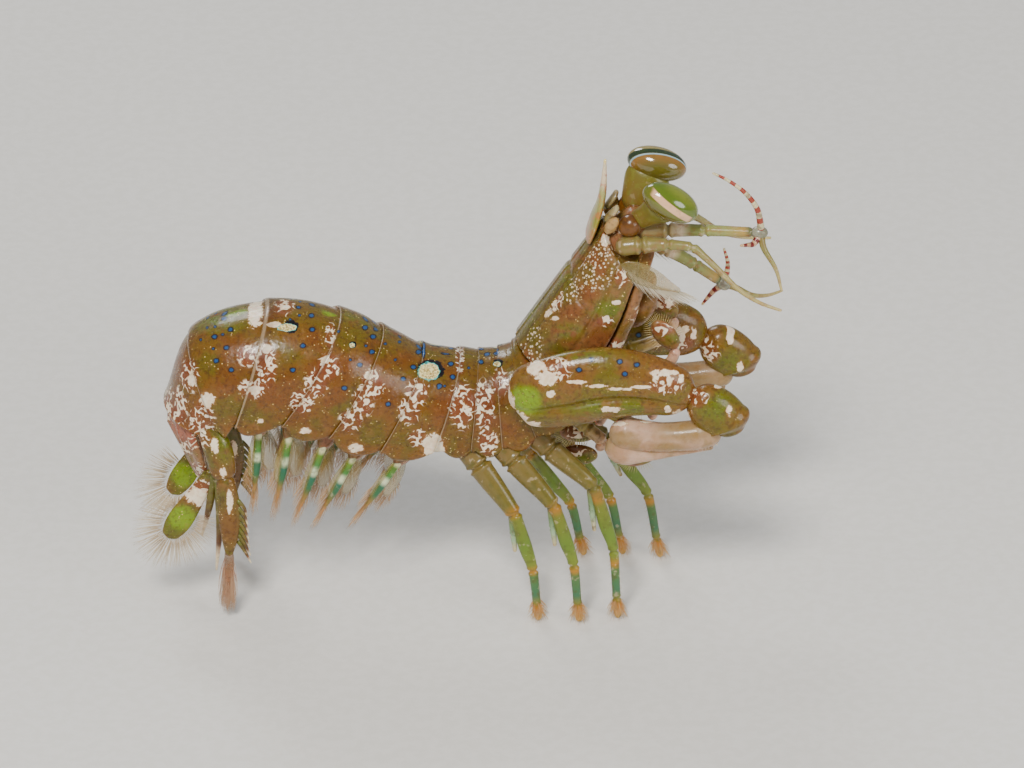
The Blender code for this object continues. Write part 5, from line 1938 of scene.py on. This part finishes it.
@dataclass(frozen=True)
class TailFan:
    """The telson with the limbs of the tail fan on either side."""

    base: tuple[float, float, float] = (17.6, 0.0, 21.2)
    tip: tuple[float, float, float] = (20.0, 0.0, 13.6)
    half_widths: tuple[float, ...] = (3.6, 4.1, 4.25, 3.95, 3.1)
    arch: float = 1.3
    teeth: tuple[tuple[float, float], ...] = ((0.24, 2.3), (0.6, 2.0), (0.93, 1.5))

    def plate(self, around: np.ndarray, along: np.ndarray) -> np.ndarray:
        """The telson's surface, arched, with its keels and thick edge."""
        base, tip = np.array(self.base), np.array(self.tip)
        share = np.interp(along, (0, 0.04, 0.93, 0.98, 1), (0.0, 0.0, 0.97, 1.0, 0.99))
        size = np.interp(along, (0, 0.04, 0.93, 0.98, 1), (0.0, 1.0, 1.0, 0.9, 0.0))
        half = smooth_rows(np.array(self.half_widths)[:, None], share * (len(self.half_widths) - 1))[:, 0]
        turn = 2 * math.pi * around
        out, lift = np.cos(turn), np.sign(np.sin(turn)) * np.abs(np.sin(turn)) ** 0.6
        keels = 0.7 * bell(out, 0, 0.09) + 0.35 * bell(np.abs(out), 0.42, 0.06)
        keels = keels + 0.3 * bell(np.abs(out), 0.74, 0.06)
        lift = lift + np.where(lift > 0, keels * np.clip(share * 6, 0, 1) * size, 0)
        thick = (0.95 - 0.5 * share) * size
        down = unit(tip - base)
        back = np.array((down[2], 0, -down[0]))
        raised = thick * lift - self.arch * out**2 * size
        points = base + (tip - base) * share[:, None] + back * raised[:, None]
        points[:, 1] = out * half * size
        return points

    def build_telson(self) -> None:
        """Make the telson and its teeth."""
        fields = Markings(lace=TELSON_LACE).fields()
        surface("telson_plate", (190, 120), self.plate, Finish.TELSON, fields, "telson")
        base, tip = np.array(self.base), np.array(self.tip)
        run = tip - base
        down = unit(run)
        back = np.array((down[2], 0, -down[0]))
        for number, (out, reach) in enumerate(self.teeth, 1):
            for side in Side:
                y = out * self.half_widths[-1] * side.value * 1.12
                root = base + run * 0.86 + np.array((0, y * 0.97, 0)) - back * self.arch * out * out
                point = root + down * (reach + 1.0) + np.array((0, 0.1 * y, 0))
                rows = between(root, point, ((0.0, 0.55, 0.5), (0.5, 0.38, 0.32), (1.0, 0.1, 0.1)))
                surface(f"telson_tooth_{number}_{side.letter}", (20, 36), tube(rows), Finish.TAIL_SPINE)

    def build_uropod_stalk(self, side: Side) -> None:
        """Make one side's stalk and prongs.

        Args:
            side: Which side.
        """
        at, letter = side.point, side.letter
        stalk = [
            (*at(20.6, 3.9, 22.0), 1.2, 0.9),
            (*at(21.9, 4.9, 19.0), 1.45, 0.95),
            (*at(22.5, 5.2, 15.6), 1.25, 0.85),
        ]
        fields = UROPOD_MARKS.fields()
        surface(f"uropod_stalk_{letter}", (64, 90), tube(stalk), Finish.TAIL, fields, f"uropod_{letter}")
        long_prong = [
            (*at(22.0, 4.9, 16.2), 0.62, 0.5),
            (*at(21.9, 4.6, 10.4), 0.42, 0.36),
            (*at(21.4, 4.3, 4.6), 0.1, 0.1),
        ]
        short_prong = [
            (*at(21.4, 4.6, 16.4), 0.56, 0.5),
            (*at(20.9, 4.3, 12.4), 0.4, 0.34),
            (*at(20.0, 3.9, 8.4), 0.1, 0.1),
        ]
        for number, rows in enumerate((long_prong, short_prong), 1):
            surface(f"uropod_prong_{number}_{letter}", (24, 64), tube(rows), Finish.TAIL_SPINE)

    def build_outer_blade(self, side: Side) -> None:
        """Make one side's outer blade with its brush and its row of spines.

        Args:
            side: Which side.
        """
        at, letter = side.point, side.letter
        outer = [
            (*at(22.5, 5.3, 16.4), 0.9, 0.7),
            (*at(22.9, 5.7, 12.6), 1.15, 0.6),
            (*at(22.9, 6.0, 9.6), 0.85, 0.5),
            (*at(22.8, 6.1, 7.4), 0.35, 0.3),
        ]
        surface(f"uropod_outer_{letter}", (64, 120), tube(outer), Finish.TAIL, UROPOD_MARKS.fields())
        brush = [
            (*at(22.8, 6.1, 8.4), 0.4, 0.3),
            (*at(22.8, 6.2, 6.6), 0.5, 0.22),
            (*at(22.7, 6.2, 4.8), 0.38, 0.18),
            (*at(22.6, 6.15, 3.4), 0.12, 0.1),
        ]
        surface(f"uropod_brush_{letter}", (36, 60), tube(brush), Finish.BRUSH)
        for k in range(7):
            spine = [
                (*at(23.7, 5.8, 13.8 - 0.8 * k), 0.26, 0.24),
                (*at(24.4, 5.95, 12.9 - 0.85 * k), 0.18, 0.16),
                (*at(24.7 + 0.05 * k, 6.05, 11.9 - 0.9 * k), 0.06, 0.06),
            ]
            surface(f"uropod_spine_{k + 1}_{letter}", (20, 36), tube(spine), Finish.TAIL_SPINE)

    def build_inner_blade(self, side: Side) -> None:
        """Make one side's inner blade with its fan of bristles.

        Args:
            side: Which side.
        """
        root, tip = np.array(side.point(21.3, 4.5, 16.4)), np.array(side.point(16.6, 4.3, 8.4))
        run = tip - root
        heading = unit(run)
        rear = np.array((heading[2], 0, -heading[0]))
        widths = ((0.0, 0.7, 0.5), (0.3, 0.95, 0.4), (0.72, 1.3, 0.3), (0.93, 0.95, 0.25), (1.0, 0.4, 0.2))
        blade = tube(between(root, tip, widths))
        surface(f"uropod_inner_{side.letter}", (72, 120), blade, Finish.TAIL, UROPOD_MARKS.fields())
        fan = Strands(90 + side.value)
        turns = np.linspace(-2.2, 2.2, 15)
        middle = root + run * 0.74
        roots = [middle + heading * 2.3 * math.cos(turn) + rear * 1.3 * math.sin(turn) for turn in turns]
        ways = [heading * math.cos(turn * 0.9) + rear * math.sin(turn * 0.9) for turn in turns]
        fan.fan(roots, ways, 240, [4.2 - 0.6 * abs(turn) for turn in turns], 0.045, 0.03)
        fan.build(f"uropod_fan_{side.letter}", Finish.PALE_BRISTLE)

    def build_tuft(self, side: Side) -> None:
        """Make the bristles of one side's brush.

        Args:
            side: Which side.
        """
        tuft = Strands(95 + side.value)
        places = np.linspace(-1, 1, 13)
        for level, reach in ((7.4, 6.6), (6.2, 5.6), (5.0, 4.7), (4.0, 3.8)):
            roots = [side.point(22.75 + 0.42 * k, 6.18, level - 0.5 * (1 - abs(k))) for k in places]
            ways = [(0.11 * k - 0.05, 0.0, -1.0) for k in places]
            lengths = [reach - 0.5 - 0.5 * abs(math.sin(5 * k)) for k in places]
            tuft.fan(roots, ways, 44, lengths, 0.04, 0.018)
        tuft.build(f"uropod_tuft_{side.letter}", Finish.PINK_BRISTLE)

    def build(self) -> None:
        """Make the tail fan."""
        self.build_telson()
        for side in Side:
            self.build_uropod_stalk(side)
            self.build_outer_blade(side)
            self.build_inner_blade(side)
            self.build_tuft(side)


@dataclass(frozen=True)
class Studio:
    """The floor, soft lights and camera."""

    target: tuple[float, float, float] = (51.2, 0.0, 23.79)
    frame_width: float = 102.4
    lens: float = 250.0
    sensor: float = 36.0

    def view_way(self) -> Vector:
        """The direction that the camera looks in."""
        return Vector((0.0, math.cos(VIEW_TILT), -math.sin(VIEW_TILT)))

    def lamp(self, name: str, place: Point, size: float, power: float, colour: Colour) -> None:
        """Add one soft light that faces the animal.

        Args:
            name: Its name.
            place: Where it stands, in metres.
            size: Its width in metres.
            power: Its power in watts.
            colour: Its colour.
        """
        light = bpy.data.lights.new(name, "AREA")
        light.shape = "DISK"
        light.size = size
        light.energy = power
        light.color = colour
        made = bpy.data.objects.new(name, light)
        made.location = place
        made.rotation_euler = (Vector((0, 0, 0.02)) - Vector(place)).to_track_quat("-Z", "Y").to_euler()
        bpy.context.scene.collection.objects.link(made)

    def build(self) -> None:
        """Make the floor, lights, world and camera."""
        bm = bmesh.new()
        bmesh.ops.create_grid(bm, x_segments=40, y_segments=40, size=1.5)
        mesh = bpy.data.meshes.new("floor")
        bm.to_mesh(mesh)
        bm.free()
        g = Graph("floor_paper")
        g.gloss(0.85)
        g.bump(g.noise(1.2, 3.0), 0.02, 0.3)
        grain = g.step(g.noise(0.8, 3.0), 0.4, 0.6)
        mesh.materials.append(g.colour(g.mix(grain, srgb(226, 223, 216), srgb(230, 227, 221))))
        floor = bpy.data.objects.new("floor", mesh)
        bpy.context.scene.collection.objects.link(floor)
        self.lamp("key", (-0.10, -0.38, 0.50), 0.16, 3.8, (1.0, 0.97, 0.92))
        self.lamp("fill", (0.45, -0.40, 0.25), 0.30, 1.5, (1.0, 0.98, 0.95))
        self.lamp("rim", (-0.20, 0.45, 0.40), 0.20, 1.1, (0.95, 0.98, 1.0))
        world = bpy.data.worlds.new("room")
        world.use_nodes = True
        world.node_tree.nodes["Background"].inputs["Color"].default_value = (0.82, 0.85, 0.9, 1.0)
        world.node_tree.nodes["Background"].inputs["Strength"].default_value = 0.45
        bpy.context.scene.world = world
        camera = bpy.data.cameras.new("camera")
        camera.lens = self.lens
        camera.sensor_width = self.sensor
        made = bpy.data.objects.new("camera", camera)
        target = (Vector(self.target) + Placement.shift) * MM
        made.location = target - self.view_way() * self.frame_width * MM * self.lens / self.sensor
        made.rotation_euler = self.view_way().to_track_quat("-Z", "Y").to_euler()
        bpy.context.scene.collection.objects.link(made)
        bpy.context.scene.camera = made


EYES = (
    Eye(
        Side.RIGHT,
        root=(63.2, -1.2, 42.9),
        centre=(66.7, -4.0, 46.6),
        long_way=(0.87, 0.0, -0.49),
        neck=1.3,
        end=2.0,
        band_normal=(0.626, 0.095, 0.764),
        finish=Finish.EYE,
        band_shift=-0.06,
    ),
    Eye(
        Side.LEFT,
        root=(62.7, 1.2, 42.9),
        centre=LEFT_EYE,
        long_way=(0.97, -0.10, -0.22),
        neck=2.0,
        end=2.75,
        band_normal=(0.0, 0.978, 0.208),
        finish=Finish.FAR_EYE,
        band_shift=0.36,
    ),
)
ANTENNULES = (
    Antennule(
        Side.RIGHT,
        ((62.9, -0.9, 41.6), (66.6, -1.4, 42.1), (70.2, -1.8, 42.3), (75.0, -2.2, 42.3)),
        (
            (
                (75.6, -2.5, 43.6),
                (75.2, -2.8, 45.4),
                (74.0, -3.0, 47.2),
                (72.4, -3.2, 48.6),
                (70.8, -3.4, 49.6),
            ),
            ((75.0, -3.0, 41.5), (74.4, -3.5, 41.6), (73.6, -4.0, 41.8)),
            ((76.0, -2.9, 40.9), (77.2, -3.4, 38.8), (77.8, -3.8, 36.6)),
        ),
        (Finish.BANDED, Finish.DARK_BANDED, Finish.FEELER),
    ),
    Antennule(
        Side.LEFT,
        ((62.9, 0.9, 40.4), (66.5, 1.9, 38.2), (69.4, 2.8, 35.9), (71.9, 3.6, 33.6)),
        (
            ((72.6, 3.9, 34.2), (72.7, 4.2, 35.4), (72.3, 4.4, 36.9)),
            ((71.5, 4.0, 32.4), (70.8, 4.2, 31.4), (70.2, 4.4, 30.4)),
            ((73.6, 4.3, 32.4), (75.2, 5.0, 31.2), (76.8, 6.0, 30.6), (78.4, 7.0, 30.6)),
        ),
        (Finish.BANDED, Finish.DARK_BANDED, Finish.FEELER),
    ),
)
ANTENNAE = (
    Antenna(
        Side.RIGHT,
        ((70.2, 3.5, 40.2), (71.8, 3.7, 38.6), (73.6, 4.0, 36.8), (75.6, 4.4, 35.6), (77.8, 5.0, 35.0)),
    ),
    Antenna(
        Side.LEFT,
        ((70.0, 4.0, 40.3), (71.4, 5.0, 38.8), (73.0, 6.6, 37.2), (75.0, 8.2, 36.0), (77.2, 9.2, 35.4)),
    ),
)
CLAWS = (Claw(Side.RIGHT, (0.0, 0.0)), Claw(Side.LEFT, (1.6, -1.65)))
HANDS = (
    (
        3,
        ((59.0, 1.9, 26.9), (62.6, 2.4, 26.4), (66.4, 3.0, 27.6), (67.6, 3.1, 29.6)),
        (66.4, 3.1, 31.2),
        (-0.6, 0, 0.8),
    ),
    (
        4,
        ((58.0, 1.8, 24.6), (60.9, 2.2, 22.0), (64.4, 2.9, 20.0), (65.6, 2.6, 18.2)),
        (64.0, 2.4, 16.9),
        (-0.9, 0, -0.3),
    ),
    (
        5,
        ((55.7, 2.1, 22.9), (58.6, 2.8, 20.4), (60.2, 2.7, 18.8), (59.8, 2.4, 17.6)),
        (57.9, 2.2, 16.9),
        (-1, 0, 0.05),
    ),
)
LEGS = (
    WalkingLeg(3, Side.RIGHT, ((45.9, -3.2, 19.4), (51.5, -6.0, 12.2), (53.3, -6.3, 5.8), (53.9, -6.4, 0))),
    WalkingLeg(2, Side.RIGHT, ((49.2, -3.2, 19.6), (55.4, -6.2, 13.4), (57.4, -6.6, 6.6), (58.0, -6.7, 0))),
    WalkingLeg(1, Side.RIGHT, ((52.6, -3.0, 20.4), (59.4, -5.2, 15.0), (61.4, -5.8, 7.8), (61.9, -6.0, 0))),
    WalkingLeg(3, Side.LEFT, ((45.9, 3.2, 19.4), (53.0, 5.6, 12.6), (57.2, 6.0, 6.2), (58.6, 6.2, 0))),
    WalkingLeg(2, Side.LEFT, ((49.2, 3.2, 19.6), (56.8, 5.8, 13.6), (61.2, 6.2, 6.8), (62.6, 6.4, 0))),
    WalkingLeg(1, Side.LEFT, ((52.6, 3.0, 20.4), (60.6, 5.0, 15.0), (65.0, 5.6, 7.6), (66.4, 5.8, 0))),
)
SWIMMERETS = (
    (1, (41.0, 18.9), (37.2, 11.6)),
    (2, (36.3, 19.6), (33.2, 11.6)),
    (3, (33.0, 21.0), (31.0, 12.0)),
    (4, (29.3, 22.2), (28.7, 13.2)),
    (5, (26.0, 22.6), (26.4, 14.0)),
)


def main() -> None:
    """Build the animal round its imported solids."""
    logging.basicConfig(level=logging.INFO, format="%(message)s")
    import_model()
    Placement.read()
    Studio().build()
    parts: list[object] = [Trunk(), Shield(), Head(), *EYES, *ANTENNULES, *ANTENNAE, *CLAWS, *LEGS, TailFan()]
    parts += [Maxilliped(number, side, *rest) for number, *rest in HANDS for side in Side]
    parts += [Swimmeret(number, side, root, tip) for number, root, tip in SWIMMERETS for side in Side]
    for part in parts:
        LOG.info("building %s", type(part).__name__)
        part.build()


if __name__ == "__main__":
    main()
